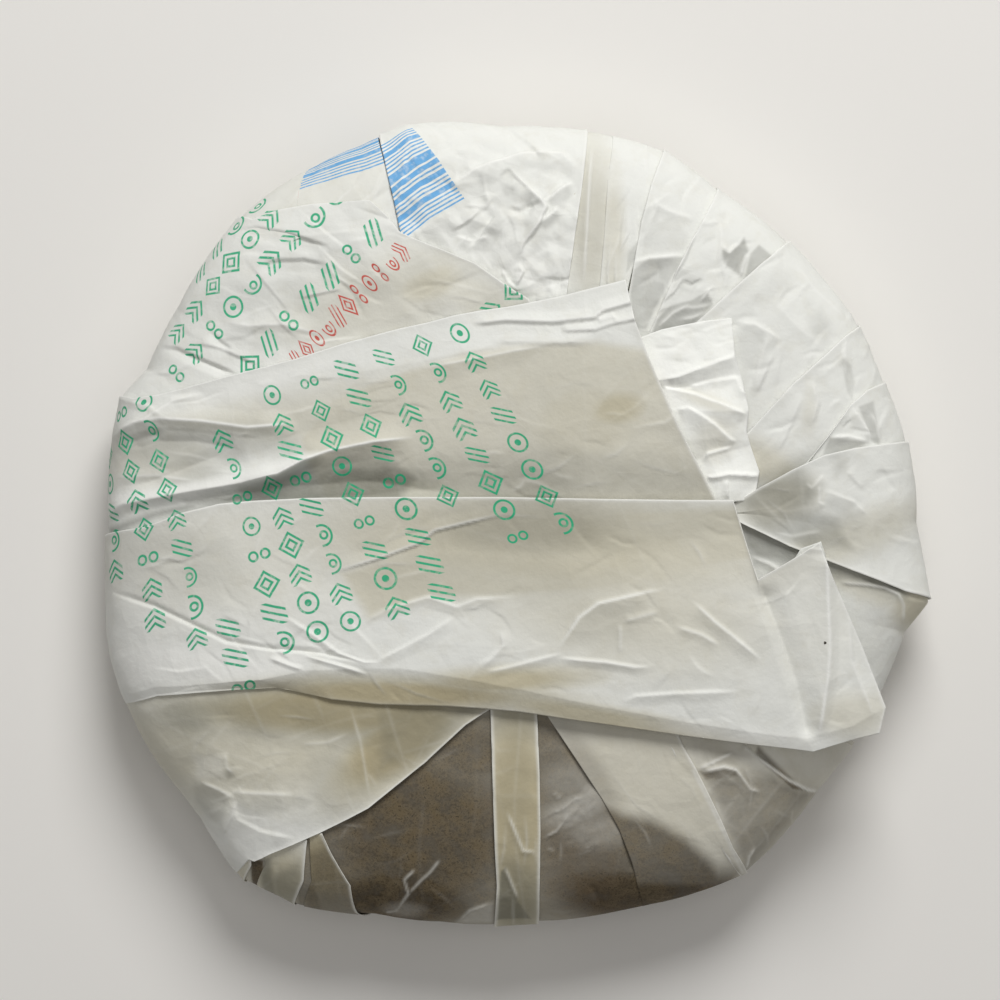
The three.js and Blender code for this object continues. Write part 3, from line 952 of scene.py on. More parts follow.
def right_pleats():
    lay_sheet("channel_lining", [
            at_height(0.1, (572, 133), (572, 180), (570, 230), (560, 310)),
            at_height(0.25, (592, 134), (590, 180), (588, 235), (580, 310)),
            at_height(0.1, (618, 137), (616, 180), (612, 240), (604, 310))], plain_paper, 41,
        # Painted shade down the channel between the sheets.
        stain_and_shade=[(590, 220, 26, 90, 0, 0.4)], tea=[(590, 225, 20, 70, 0, 0.12)],
        creases=[fold(0.35, (592, 140), (588, 200), (583, 290), right=1.6)])
    lay_sheet("pleat_beside_channel", [
            at_height(0.32, (606, 134), (607, 180), (603, 240), (597, 310)),
            at_height(0.3, (664, 152), (652, 190), (643, 225), (622, 310))], plain_paper, 4,
        # Grey where tea shows through, and painted shade along the channel side.
        tea=[area(0.24, (625, 275), (628, 254), (641, 238), (648, 240), (634, 262))],
        creases=crumple(24, 16, ((606, 140), (650, 290)), 80, 0.8, height=(0.06, 0.25)),
        stain_and_shade=[(612, 240, 12, 70, 0, 0.35)])
    lay_sheet("pleat_upper_right", [
            at_height(0.65, (662, 151), (650, 187), (640, 225), (627, 300), (620, 340)),
            at_height(0.25, (722, 192), (702, 228), (682, 265), (650, 335), (634, 372))],
        plain_paper, 5, curled=("first",), tea=[
            # Grey where tea shows through, with painted shade below the ridge.
            area(0.3, (628, 275), (647, 262), (683, 259), (666, 286), (645, 330), (632, 330)),
            area(0.08, (644, 232), (672, 218), (688, 240), (682, 256), (640, 262))], creases=[
            fold(0.5, (631, 266), (647, 260), (683, 257), right=1.6),
            fold(0.25, (650, 205), (668, 214), (694, 222))]
        + crumple(25, 20, ((635, 170), (710, 320)), 66, 1.4, length=(2, 7), height=(0.06, 0.25),
            width=(0.5, 1.5)))
    lay_sheet("pleat_grey", [
            at_height(0.5, (714, 187), (700, 225), (680, 262), (648, 335), (634, 366)),
            at_height(0.2, (796, 252), (775, 268), (745, 290), (695, 345), (672, 372))],
        plain_paper, 6, curled=("first",), tea=[
            # Grey where tea shows through a single layer, with painted shade between the folds.
            area(0.46, (719, 252), (727, 256), (742, 240), (746, 253), (739, 279), (722, 266)),
            area(0.4, (748, 256), (757, 247), (772, 259), (742, 281)),
            area(0.42, (650, 326), (668, 308), (690, 302), (706, 293), (711, 306), (688, 330),
                (652, 336)),
            area(0.14, (668, 288), (680, 272), (700, 282), (690, 296))], creases=[
            fold(0.4, (694, 226), (690, 243), (681, 264), (666, 286), (650, 319), right=1.6,
                fade=0.1),
            fold(0.3, (718, 222), (719, 246), (716, 267), left=1.4, right=0.38),
            fold(0.35, (718, 246), (727, 255), (742, 241)),
            fold(0.4, (737, 281), (740, 268), (746, 253), right=1.4),
            fold(-0.4, (679, 282), (690, 287), (702, 281), right=0.9),
            fold(0.35, (697, 305), (706, 293), (710, 305), right=1),
            fold(0.3, (655, 330), (672, 314), (690, 306), right=1.6)]
        + crumple(26, 26, ((660, 200), (780, 320)), 50, 1.8, length=(2, 7), height=(0.06, 0.3),
            width=(0.5, 1.5)))
    lay_sheet("pleat_broad_right", [
            at_height(0.95, (789, 247), (768, 259), (740, 283), (688, 330)),
            at_height(0.25, (864, 332), (852, 345), (797, 394), (740, 450))], plain_paper, 7,
        curled=("first",), tea=[
            area(0.16, (805, 316), (818, 312), (833, 336), (822, 344), (808, 334), soft=1.0),
            area(0.07, (735, 336), (760, 333), (764, 345), (751, 390), (740, 386), soft=0.6),
            (770, 290, 34, 10, 40, 0.06)], creases=[
            fold(0.35, (732, 324), (752, 326), (768, 335), (779, 344), right=2.2),
            fold(0.3, (765, 335), (758, 360), (751, 390), left=1.8, right=0.38),
            fold(0.3, (772, 352), (763, 373), (751, 399), right=1.4),
            fold(0.25, (790, 262), (812, 292), (845, 322), left=2, right=2),
            fold(-0.25, (800, 300), (815, 320), (835, 345), left=1.2),
            fold(0.2, (770, 300), (790, 325), (822, 350), left=1.4, right=1.4)]
        + crumple(27, 26, ((720, 260), (850, 400)), 42, 1.6, length=(2, 8), height=(0.05, 0.22),
            width=(0.5, 1.8)))
    lay_sheet("pleat_right", [
            at_height(0.7, (857, 325), (843, 337), (790, 385), (735, 445), (700, 470)),
            at_height(0.25, (890, 392), (870, 402), (835, 445), (780, 490), (735, 515))],
        plain_paper, 8, curled=("first",), tea=[
            # Painted shade in a groove and in the band just above the right sheet's edge, in both
            # tints.
            area(0.2, (839, 360), (848, 366), (853, 388), (850, 402), (844, 392)),
            area(0.4, (740, 478), (770, 470), (812, 448), (832, 436), (815, 472), (770, 500),
                (730, 512), soft=1.2)],
        stain_and_shade=[(806, 415, 8, 26, 0, 0.2), (770, 470, 50, 20, -38, 0.5)], creases=[
            fold(-0.45, (838, 357), (845, 370), (851, 385), (850, 402), right=1.4),
            fold(0.25, (860, 335), (870, 360), (876, 380)),
            fold(0.3, (808, 378), (815, 404), (808, 430), right=2),
            fold(0.25, (800, 395), (790, 420), (775, 455), right=1.6)]
        + crumple(28, 22, ((760, 340), (880, 470)), 48, 1.8, length=(2, 8), height=(0.05, 0.25),
            width=(0.5, 1.8)))
    lay_sheet("pleat_low_right", [
            at_height(0.65, (884, 382), (864, 391), (846, 407), (825, 437), (790, 482)),
            at_height(0.25, (911, 456), (882, 456), (852, 461), (802, 479), (745, 512))],
        plain_paper, 9, curled=("first",), tea=[
            # Painted shade in the small dark triangles between folds.
            area(0.34, (855, 408), (870, 402), (877, 446), (869, 442)),
            area(0.36, (826, 438), (866, 443), (838, 453), (819, 457))], creases=[
            fold(0.5, (848, 408), (860, 425), (869, 441), right=1.6),
            fold(0.35, (867, 412), (874, 428), (877, 444)),
            fold(0.35, (826, 438), (846, 437), (867, 443), right=1.4)]
        + crumple(29, 12, ((810, 390), (900, 470)), 20, 1.6, length=(2, 7), height=(0.05, 0.2),
            width=(0.5, 1.5)))
    lay_sheet("sheet_under_right", [
            at_height(0.5, (928, 600), (895, 588), (850, 568), (800, 545), (735, 508)),
            at_height(0.2, (909, 629), (886, 618), (850, 602), (800, 580), (745, 556)),
            at_height(0.12, (900, 660), (875, 652), (845, 645), (800, 632), (750, 610)),
            at_height(0.1, (888, 700), (865, 700), (838, 700), (800, 700), (760, 700))],
        plain_paper, 10, crushed=((7.0, 0.12),), tea=[
            # Painted shadow in the band under the right sheet's lower edge.
            area(0.62, (735, 500), (800, 536), (850, 558), (905, 588), (903, 600), (868, 590),
                (836, 579), (794, 568), (774, 560), (755, 560), (742, 546), soft=1.0),
            (868, 625, 30, 40, 30, 0.08)],
        # Beige at the corner, and painted shade next to the shadow band.
        stain_and_shade=[(912, 606, 26, 26, 0, 0.7), (870, 590, 60, 14, -22, 0.4)], creases=[
            fold(0.3, (836, 582), (863, 584), (881, 587), (895, 594), (900, 605), (900, 623),
                left=0.8, right=0.4, fade=0.1),
            fold(0.35, (748, 556), (765, 562), (784, 574))])
    lay_sheet("right_sheet", [
            at_height(0.9, (907, 447), (880, 445), (850, 449), (820, 456), (790, 470), (757, 488),
                (725, 508)),
            at_height(1.0, (914, 500), (885, 495), (850, 497), (818, 500), (788, 505), (757, 510),
                (725, 514)),
            at_height(0.85, (920, 555), (895, 545), (865, 535), (828, 526), (790, 520), (757, 515),
                (725, 512)),
            at_height(1.15, (928, 603), (900, 590), (868, 577), (829, 562), (787, 546), (752, 529),
                (722, 514))], plain_paper, 11, curled=("first", "last"), tea=[
            # Painted shade over folds, in the pocket by the flap and along the lower edge; the
            # beige patches below are painted shade too.
            (860, 545, 80, 24, 12, 0.14),
            area(0.54, (732, 500), (760, 482), (795, 470), (816, 486), (808, 506), (790, 514),
                (745, 512), soft=1.4),
            area(0.52, (785, 492), (800, 484), (810, 494), (806, 508), (786, 508), soft=0.8),
            area(0.2, (822, 492), (850, 502), (866, 520), (862, 545), (840, 552), (815, 540),
                (808, 520), soft=1.8),
            area(0.2, (828, 458), (840, 456), (842, 470), (832, 476), soft=1.0),
            area(0.5, (740, 510), (800, 506), (835, 516), (850, 550), (800, 548), (752, 530),
                soft=1.4)], stain_and_shade=[(835, 543, 100, 22, 22, 0.4), (775, 500, 40, 24, 20, 0.5)],
        creases=[
            fold(0.22, (818, 490), (830, 494), (850, 502), (866, 518), left=0.4, right=2.2),
            fold(0.15, (770, 532), (790, 536), (820, 530), right=1.8),
            fold(0.25, (842, 470), (852, 482), (860, 490), left=1.8, right=0.4),
            fold(0.25, (816, 484), (816, 502), (822, 508), left=0.4, right=1.4),
            fold(0.2, (802, 482), (808, 488), (822, 474), left=0.4, right=1.6),
            fold(-0.3, (876, 467), (884, 480), (892, 492), left=0.4, right=1.6)]
        + crumple(30, 22, ((740, 455), (915, 590)), -8, 1.6, length=(3, 9), height=(0.04, 0.15),
            width=(0.6, 2.2)))


def crumpled_bunch():
    lay_sheet("crumpled_bunch", [
            [(622, 345, 1.2), (660, 331, 1.2), (700, 323, 1.1), (729, 320, 0.8)],
            [(646, 383, 2.4), (676, 378, 2.5), (704, 367, 2.3), (732, 358, 1.8)],
            [(652, 390, 1.8), (684, 388, 1.8), (712, 384, 1.6), (738, 376, 1.3)],
            [(664, 410, 2.2), (700, 412, 2.6), (724, 412, 2.5), (746, 412, 1.8)],
            [(672, 440, 2.0), (703, 440, 2.4), (724, 436, 2.2), (744, 432, 1.3)],
            [(680, 462, 1.6), (708, 458, 1.7), (726, 452, 1.5), (748, 446, 0.8)],
            [(688, 480, 1.7), (716, 478, 2.2), (735, 474, 1.9), (757, 472, 0.8)],
            [(690, 504, 1.4), (716, 502, 1.8), (733, 502, 1.5), (752, 500, 0.7)]], painted_lit_paper,
        12, curled=("first", "end"), cell=0.24, rough=0.02, crushed=((4.0, 0.2),),
        # Painted shade in the bands under the folds, and painted light at the left edge and the
        # bottom.
        stain_and_shade=[(705, 402, 30, 8, -20, 0.34), (712, 440, 20, 24, -30, 0.3)],
        pale=[(660, 392, 20, 34, 10, 0.8), (664, 350, 30, 10, 0, 0.4), (700, 478, 14, 10, 0, 0.5)],
        creases=[
            fold(0.4, (664, 381), (694, 371), (732, 357), left=0.3, right=2.0, fade=0.1),
            fold(0.45, (660, 388), (694, 395), (723, 406), (745, 416), left=0.28, right=2.6,
                fade=0.1),
            fold(0.35, (687, 388), (710, 383), (733, 379), (739, 392), (746, 396), left=0.3,
                fade=0.1),
            fold(0.4, (675, 411), (686, 408), (700, 416), (713, 425), (734, 444), left=0.28,
                right=2.6, fade=0.1),
            fold(0.4, (699, 463), (706, 454), (732, 447), left=0.3, right=2.0),
            fold(0.5, (704, 478), (728, 474), (758, 476), left=0.35, right=0.9, fade=0.1),
            fold(0.3, (725, 479), (726, 500), left=0.3, right=1.0)]
        + crumple(31, 18, ((645, 325), (735, 365)), 10, 0.7, length=(2, 7), height=(0.05, 0.15),
            width=(0.5, 1.2)), rim=0.0)


def lower_layers():
    lay_sheet("inner_sheet", [
            at_height(0.05, (202, 817), (205, 760), (210, 700)),
            at_height(0.05, (245, 880), (248, 790), (250, 700)),
            at_height(0.05, (300, 905), (300, 800), (300, 700)),
            at_height(0.05, (375, 915), (372, 810), (370, 700)),
            at_height(0.05, (440, 922), (440, 810), (440, 700)),
            at_height(0.05, (540, 922), (540, 810), (540, 700)),
            at_height(0.05, (650, 905), (645, 800), (640, 700)),
            at_height(0.05, (743, 875), (725, 790), (710, 700)),
            at_height(0.05, (818, 790), (800, 750), (780, 700)),
            at_height(0.05, (853, 745), (830, 725), (800, 700))], body_paper, 44, least=-0.3,
        crushed=((7.0, 0.12),), rough=0.03, tea=TEA_SHOWN, stain_and_shade=[(520, 810, 400, 200, 0, 0.25)],
        # Paler patches, and painted highlight along two folds.
        pale=[(578, 806, 34, 16, 25, 0.26), (592, 792, 16, 12, 0, 0.22), (405, 908, 22, 8, 0, 0.2),
            (598, 828, 34, 18, 0, 0.18), (566, 778, 26, 18, 0, 0.12),
            area(0.3, (456, 922), (470, 908), (493, 900), (494, 922), soft=0.6)], creases=[
            fold(0.25, (384, 912), (397, 909), (409, 891), (405, 877), (416, 866), left=0.3,
                right=0.5, fade=0.08),
            fold(0.22, (409, 891), (422, 877), (430, 870), (441, 856), left=0.3, right=0.5,
                fade=0.15),
            fold(-0.6, (545, 716), (577, 756), (601, 794), left=0.6, right=1.6),
            fold(-0.5, (590, 880), (603, 905), left=0.6, right=0.8),
            fold(-0.4, (625, 830), (634, 870), left=0.5, right=1.4),
            fold(0.2, (541, 836), (556, 828), (566, 814), (580, 804), left=0.3, right=0.6),
            fold(0.2, (546, 812), (562, 806), (574, 796), (590, 793), left=0.3, right=0.6),
            fold(0.25, (456, 922), (470, 908), (493, 900), left=0.3, right=1.4),
            fold(-0.25, (600, 800), (622, 832), (640, 880), left=1.4, right=0.6)]
        + crumple(39, 30, ((330, 720), (700, 910)), length=(2, 8), height=(0.02, 0.07))
        + crumple(46, 30, ((545, 785), (596, 850)), 40, 2.0, length=(1, 5), height=(0.05, 0.14),
            width=(0.3, 0.8)))
    lay_sheet("lower_right_crumpled", [
            at_height(0.2, (740, 874), (722, 850), (702, 805), (684, 775), (660, 725)),
            at_height(0.25, (790, 826), (775, 812), (755, 788), (735, 762), (715, 725)),
            at_height(0.25, (818, 790), (803, 780), (788, 768), (770, 752), (755, 725)),
            at_height(0.2, (853, 747), (843, 740), (830, 734), (815, 728), (800, 720))],
        body_paper, 13, curled=("first",), crushed=((5.0, 0.45), (2.4, 0.12)), least=0.18,
        tea=[
            # Tea showing through, with painted shade in the valley and below a fold.
            area(0.56, (700, 770), (735, 770), (770, 772), (815, 792), (745, 876), (728, 836),
                soft=1.5),
            area(0.7, (697, 769), (716, 765), (735, 766), (737, 774), (720, 779), (703, 778),
                soft=0.5),
            area(0.85, (756, 744), (800, 786), (808, 790), (790, 788), (752, 752), soft=0.4),
            area(0.22, (690, 738), (750, 744), (745, 760), (712, 762), soft=1.5),
            (825, 745, 34, 24, -40, 0.14)], stain_and_shade=[(770, 785, 120, 60, -45, 0.2)], pale=[
            # Painted highlight along the bright folds.
            (745, 752, 24, 10, -30, 0.3), (772, 752, 26, 8, -45, 0.3),
            (806, 756, 26, 16, -40, 0.22)], creases=[
            fold(0.5, (738, 741), (762, 760), (787, 778), (806, 788), (819, 791), left=0.35,
                right=1.8, fade=0.08),
            fold(-0.5, (757, 745), (776, 768), (796, 782), left=1.0, right=0.4),
            fold(0.4, (694, 768), (716, 757), (735, 748), left=0.4, right=1.6),
            fold(0.45, (698, 770), (722, 764), (734, 767), (742, 778), left=0.4),
            fold(0.25, (735, 768), (748, 786), (760, 790), left=0.4, right=1.0),
            fold(0.35, (755, 845), (748, 855), (745, 870), left=0.4, right=0.8)]
        + crumple(32, 26, ((700, 745), (830, 850)), -62, 1.1, length=(2, 7), height=(0.03, 0.12),
            width=(0.6, 1.8)))
    lay_sheet("bottom_left_sliver", [
            at_height(0.25, (238, 884), (234, 868)) + at_height(0.0, (228, 845)),
            at_height(0.3, (249, 890), (251, 866)) + at_height(0.0, (252, 848))], plain_paper, 14,
        curled=("last",), stain_and_shade=[(242, 868, 20, 40, 0, 0.6)])
    lay_sheet("bottom_left_panel", [
            at_height(0.2, (264, 894), (264, 866), (264, 840)),
            at_height(0.25, (284, 900), (286, 872), (290, 838)),
            at_height(0.45, (300, 908), (304, 880), (308, 838))], plain_paper, 42,
        curled=("last",), least=0.2, stain_and_shade=[(285, 875, 40, 40, 0, 0.8)], tea=[
            area(0.6, (262, 855), (272, 856), (280, 905), (262, 895), soft=0.6),
            area(0.5, (270, 874), (300, 860), (308, 880), (302, 910), (270, 905), soft=1.2)],
        creases=[fold(-0.3, (276, 858), (282, 880), (284, 895), left=0.8, right=1.4)])
    lay_sheet("bottom_left_fold", [
            at_height(0.25, (312, 910), (312, 880), (310, 834)),
            at_height(0.35, (340, 911), (330, 878), (316, 832)),
            at_height(0.55, (385, 932), (352, 882), (323, 831))], body_paper, 43, curled=("last",),
        least=0.16, stain_and_shade=[(325, 860, 50, 50, 0, 0.9)], tea=[
            # Tea showing through, with painted shade deepening the fold.
            area(0.7, (304, 846), (330, 840), (354, 872), (392, 935), (304, 930), soft=2.0),
            area(0.8, (300, 868), (322, 872), (334, 925), (300, 925), soft=1.6)])
    lay_sheet("middle_strip", [
            at_height(0.6, (494, 914), (497, 883), (495, 847), (493, 788), (491, 719), (490, 690)),
            at_height(0.55, (515, 918), (518, 888), (518, 845), (516, 788), (514, 719),
                (512, 690)),
            at_height(0.6, (535, 920), (539, 895), (540, 832), (539, 770), (537, 719),
                (535, 690))], plain_paper, 15, curled=("first", "last"),
        stain_and_shade=[(515, 820, 60, 170, 0, 0.95)], tea=[(514, 790, 22, 80, 0, 0.24),
            (514, 722, 40, 24, 0, 0.3), (518, 890, 30, 44, 0, 0.56),
            area(0.76, (500, 868), (506, 862), (519, 898), (532, 916), (496, 916))], creases=[
            fold(0.25, (506, 806), (523, 847), (532, 848), (538, 856), left=0.3, right=0.9),
            fold(0.2, (504, 861), (519, 897), left=0.3, right=0.8)]
        + crumple(34, 10, ((492, 720), (540, 915)), 85, 0.7, height=(0.04, 0.12)))
    lay_sheet("right_wedge", [
            at_height(0.14, (641, 908), (637, 885), (631, 860), (618, 826), (601, 796), (576, 758),
                (548, 716), (542, 706)),
            at_height(0.2, (692, 891), (680, 868), (665, 845), (648, 818), (628, 790), (600, 748),
                (582, 716), (575, 706)),
            at_height(0.28, (743, 876), (722, 856), (694, 820), (660, 785), (645, 770), (620, 735),
                (610, 716), (605, 706)),
            at_height(0.5, (745, 874), (731, 845), (719, 817), (706, 790), (694, 766), (682, 745),
                (672, 722), (668, 706))], body_paper, 16, curled=("last",), least=0.2,
        crushed=((9.0, 0.1),), rough=0.02, stain_and_shade=[(650, 780, 120, 70, -40, 0.3)], tea=[
            # Tea showing through where the wedge thins, and painted shade along the crease.
            area(0.84, (585, 786), (602, 799), (622, 811), (650, 817), (664, 824), (686, 837),
                (708, 857), (724, 878), (745, 905), (600, 930), (590, 840), soft=1.3),
            area(1.0, (600, 868), (735, 872), (745, 905), (600, 930), soft=2.6),
            (590, 772, 60, 16, -57, 0.36)],
        # Painted highlight along the wedge's right edge.
        pale=[area(0.5, (693, 766), (744, 872), (741, 873), (690, 768), soft=0.3)], creases=crumple(
            35, 12, ((600, 730), (720, 850)), -60, 0.7, height=(0.03, 0.08), width=(0.8, 2.2)))
    lay_sheet("lower_left_triangle", [
            at_height(0.6, (117, 640), (220, 640), (330, 650), (430, 660), (520, 680)),
            at_height(0.6, (124, 698), (215, 700), (310, 702), (403, 704), (492, 706)),
            at_height(0.65, (145, 735), (225, 733), (305, 730), (385, 727), (466, 723)),
            at_height(0.65, (163, 760), (230, 760), (295, 760), (360, 760), (426, 760)),
            at_height(0.7, (187, 796), (235, 798), (280, 800), (325, 803), (370, 805)),
            at_height(0.7, (202, 819), (235, 822), (264, 825), (293, 828), (322, 830)),
            at_height(0.75, (226, 842), (238, 845), (249, 848), (260, 851), (270, 853)),
            at_height(0.8, (246, 858), (249, 859), (251, 859), (253, 860), (255, 860))],
        plain_paper, 17, curled=("end",), crushed=((7.0, 0.4), (3.0, 0.1)), tea=[
            # Painted shadow of the flap across the top, in both the dark and beige tints; painted
            # shade on facets that face away, and painted light on facets that face the light and on
            # the folded rim, with some tea showing through.
            (196, 716, 36, 20, -10, 0.5), (240, 722, 60, 18, 0, 0.2),
            area(0.38, (205, 690), (492, 700), (470, 722), (436, 746), (400, 752), (330, 742),
                (205, 730), soft=2.2),
            area(0.52, (370, 700), (490, 700), (430, 756), (380, 768), soft=1.8),
            (370, 775, 70, 20, 38, 0.2), (334, 782, 26, 34, 20, 0.2), (200, 728, 30, 12, 0, 0.2),
            area(0.2, (196, 778), (222, 784), (232, 792), (226, 822), (212, 816), (198, 800),
                soft=0.5),
            area(0.3, (228, 762), (236, 762), (238, 774), (230, 778), soft=0.4),
            area(0.22, (284, 794), (304, 792), (318, 798), (306, 806), (288, 804), soft=0.5),
            area(0.14, (238, 790), (262, 794), (300, 792), (290, 806), (262, 812), (244, 806),
                soft=0.8)], stain_and_shade=[(250, 740, 190, 70, 0, 0.6), (340, 708, 190, 34, 0, 1.0),
            (400, 740, 100, 40, 35, 1.0)], pale=[
            area(0.34, (238, 798), (262, 812), (300, 822), (330, 828), (262, 858), (250, 858),
                (226, 838), soft=0.6),
            area(0.5, (200, 818), (226, 838), (250, 857), (246, 862), (222, 846)),
            area(0.24, (196, 752), (228, 752), (228, 774), (200, 776), soft=0.8)], creases=[
            fold(0.2, (228, 748), (230, 764), (238, 772), left=0.5, right=1.6),
            fold(0.3, (240, 796), (236, 812), (226, 832), left=0.35, right=1.8),
            fold(0.25, (202, 778), (222, 786), (240, 796), left=0.35, right=1.4),
            fold(0.2, (230, 788), (256, 790), (300, 792), left=0.5, right=2.4),
            fold(0.25, (236, 800), (240, 815), (262, 828), (300, 836), left=0.5, right=2.4),
            fold(0.12, (350, 700), (362, 740), (372, 800), left=0.5, right=1.6),
            fold(0.12, (300, 742), (330, 740), (352, 730), left=0.5, right=1.8)]
        + crumple(36, 30, ((140, 700), (420, 850)), 10, 2.2, length=(2, 8), height=(0.03, 0.12),
            width=(0.8, 2.4)))


# The gathered end of the paper, folded over as a flap

FLAP_PRINT = print_rows(107.4, (289, 640), [
    (-22.6, 4, 8, 1), (-16.6, 2, 9, 1), (-11.3, 1, 9, 1), (-7.0, -1, 1, 1), (-0.6, 0, 7, 1),
    (4.2, 0, 5, 1), (8.8, 0, 8, 1), (15.3, 0, 8, 1), (21.7, 0, 8, 1), (28.0, 3, 8, 1),
    (34.5, 1, 8, 1), (40.8, 1, 8, 1),
], taper=1 / 216)


def upper_flap():
    lay_sheet("flap_upper_sheet", [
            [(116, 399, 1.0), (138, 400, 1.0), (161, 397, 1.0), (192, 389, 1.0), (230, 378, 1.0),
                (265, 369, 1.0), (299, 360, 1.0), (345, 345, 1.0), (400, 330, 1.1),
                (480, 312, 1.2), (560, 298, 1.5), (624, 282, 1.9)],
            [(114, 432, 1.0), (139, 430, 1.0), (163, 426, 1.0), (193, 418, 1.0), (231, 408, 1.0),
                (266, 399, 1.1), (300, 390, 1.2), (346, 376, 1.4), (402, 366, 1.8),
                (484, 350, 2.4), (566, 344, 2.9), (633, 322, 3.0)],
            [(113, 470, 1.0), (140, 462, 1.0), (165, 458, 1.0), (195, 450, 1.0), (232, 440, 1.0),
                (267, 432, 1.1), (302, 424, 1.2), (348, 410, 1.4), (405, 396, 1.8),
                (485, 380, 2.4), (570, 372, 2.9), (646, 357, 3.1)],
            [(110, 530, 1.0), (138, 522, 1.0), (165, 512, 1.0), (197, 502, 1.0), (233, 490, 1.0),
                (268, 476, 1.0), (303, 464, 1.1), (350, 448, 1.3), (408, 440, 1.7),
                (490, 432, 2.2), (580, 425, 2.6), (675, 424, 2.9)],
            [(109, 580, 0.6), (138, 572, 0.6), (165, 562, 0.6), (197, 552, 0.6), (233, 545, 0.6),
                (268, 540, 0.7), (303, 535, 0.8), (350, 530, 0.9), (408, 528, 1.1),
                (490, 526, 1.4), (590, 525, 1.8), (722, 516, 1.6)]], printed_paper, 18,
        curled=("first", "end"), ink=FLAP_PRINT, on_flap=True, creases=[
            fold(0.6, (640, 301), (602, 312), (593, 319), (553, 323), (505, 321), (470, 325),
                left=0.6, right=1.4, fade=0.1),
            fold(0.45, (640, 319), (611, 325), (593, 331), (560, 332), left=0.5, right=1.0,
                fade=0.1),
            fold(0.3, (593, 319), (600, 322), (611, 318), (618, 323), left=0.5, right=0.6),
            fold(0.25, (596, 344), (551, 343), (487, 342), left=0.8, right=1.4),
            fold(0.3, (551, 346), (512, 352), (484, 358), (440, 366), (420, 370), left=2.2,
                right=0.8),
            fold(1.1, (105, 520), (129, 505), (161, 498), (196, 491), (243, 483), (279, 474),
                (304, 461), (330, 452), left=2.6, right=1.4, fade=0.1),
            fold(1.3, (235, 485), (279, 473), (304, 459), (330, 451), (374, 442), (420, 437),
                left=3.4, right=2.4, fade=0.2),
            fold(0.7, (108, 440), (140, 424), (165, 420), (205, 422), (250, 428), (300, 424),
                left=2.2, right=1.6, fade=0.15),
            fold(-0.6, (120, 452), (160, 442), (200, 442), (250, 452), left=1.8, right=3.0),
            fold(-0.4, (129, 445), (150, 437), (169, 432), left=0.8, right=1.4),
            fold(-0.5, (132, 490), (175, 474), (221, 456), (240, 444), left=1.6, right=2.6),
            fold(-1.3, (210, 504), (300, 494), (350, 489), (400, 489), (470, 492), left=3.0,
                right=2.4),
            fold(0.45, (118, 434), (150, 421), (177, 403), (207, 395), left=0.7, right=2.0),
            fold(-0.35, (138, 449), (164, 436), left=0.8, right=0.8),
            fold(0.25, (115, 478), (160, 476), (206, 482), left=1.2)]
        + crumple(37, 60, ((130, 380), (700, 500)), 12, 1.2, length=(3, 12), height=(0.03, 0.14)),
        crushed=((12.0, 0.2),), least=0.35, at_rim=0.4, stain_and_shade=[
            # Beige over the sheet: stain together with painted shade, deeper in the valley; the two
            # patches near the right end are a real brown stain.
            area(0.5, (330, 400), (380, 380), (426, 366), (469, 354), (533, 346), (594, 344),
                (650, 352), (730, 520), (330, 510), (300, 440), soft=0.9),
            area(0.42, (165, 424), (220, 410), (280, 398), (340, 386), (420, 372), (430, 440),
                (330, 452), (262, 440), (200, 432), soft=3.0), (585, 425, 90, 60, 8, 0.6),
            (616, 410, 40, 24, 10, 0.8), (430, 485, 150, 16, 4, 0.5), (160, 460, 60, 30, 0, 0.3)],
        tea=[
            # Painted shade in the valleys under the ridges and where the sheet dives under the
            # lower sheet; in the last list, painted highlight along the top hem and the bright
            # ridge.
            area(0.36, (116, 438), (160, 423), (215, 423), (262, 436), (250, 462), (200, 466),
                (150, 462), (116, 456), soft=1.6),
            area(0.34, (190, 424), (260, 420), (300, 436), (320, 452), (262, 458), (200, 452),
                soft=1.8), (345, 425, 60, 16, 12, 0.12),
            area(0.28, (400, 455), (560, 448), (715, 470), (730, 498), (400, 498), soft=2.0),
            (520, 480, 90, 22, 0, 0.42), (200, 478, 30, 14, 10, 0.3), (178, 442, 40, 14, 8, 0.42),
            (350, 474, 40, 10, 10, 0.7),
            area(0.64, (190, 499), (262, 483), (300, 468), (345, 456), (390, 456), (420, 478),
                (400, 502), (190, 506), soft=1.2),
            area(0.5, (112, 528), (160, 510), (200, 502), (200, 508), (160, 518), (114, 536),
                soft=0.6)], pale=[(270, 378, 90, 12, 17, 0.5),
            area(0.7, (116, 512), (160, 500), (240, 486), (275, 474), (300, 462), (320, 453),
                (300, 456), (240, 474), (160, 490), (118, 498), soft=0.7)], cell=FLAP_CELL)


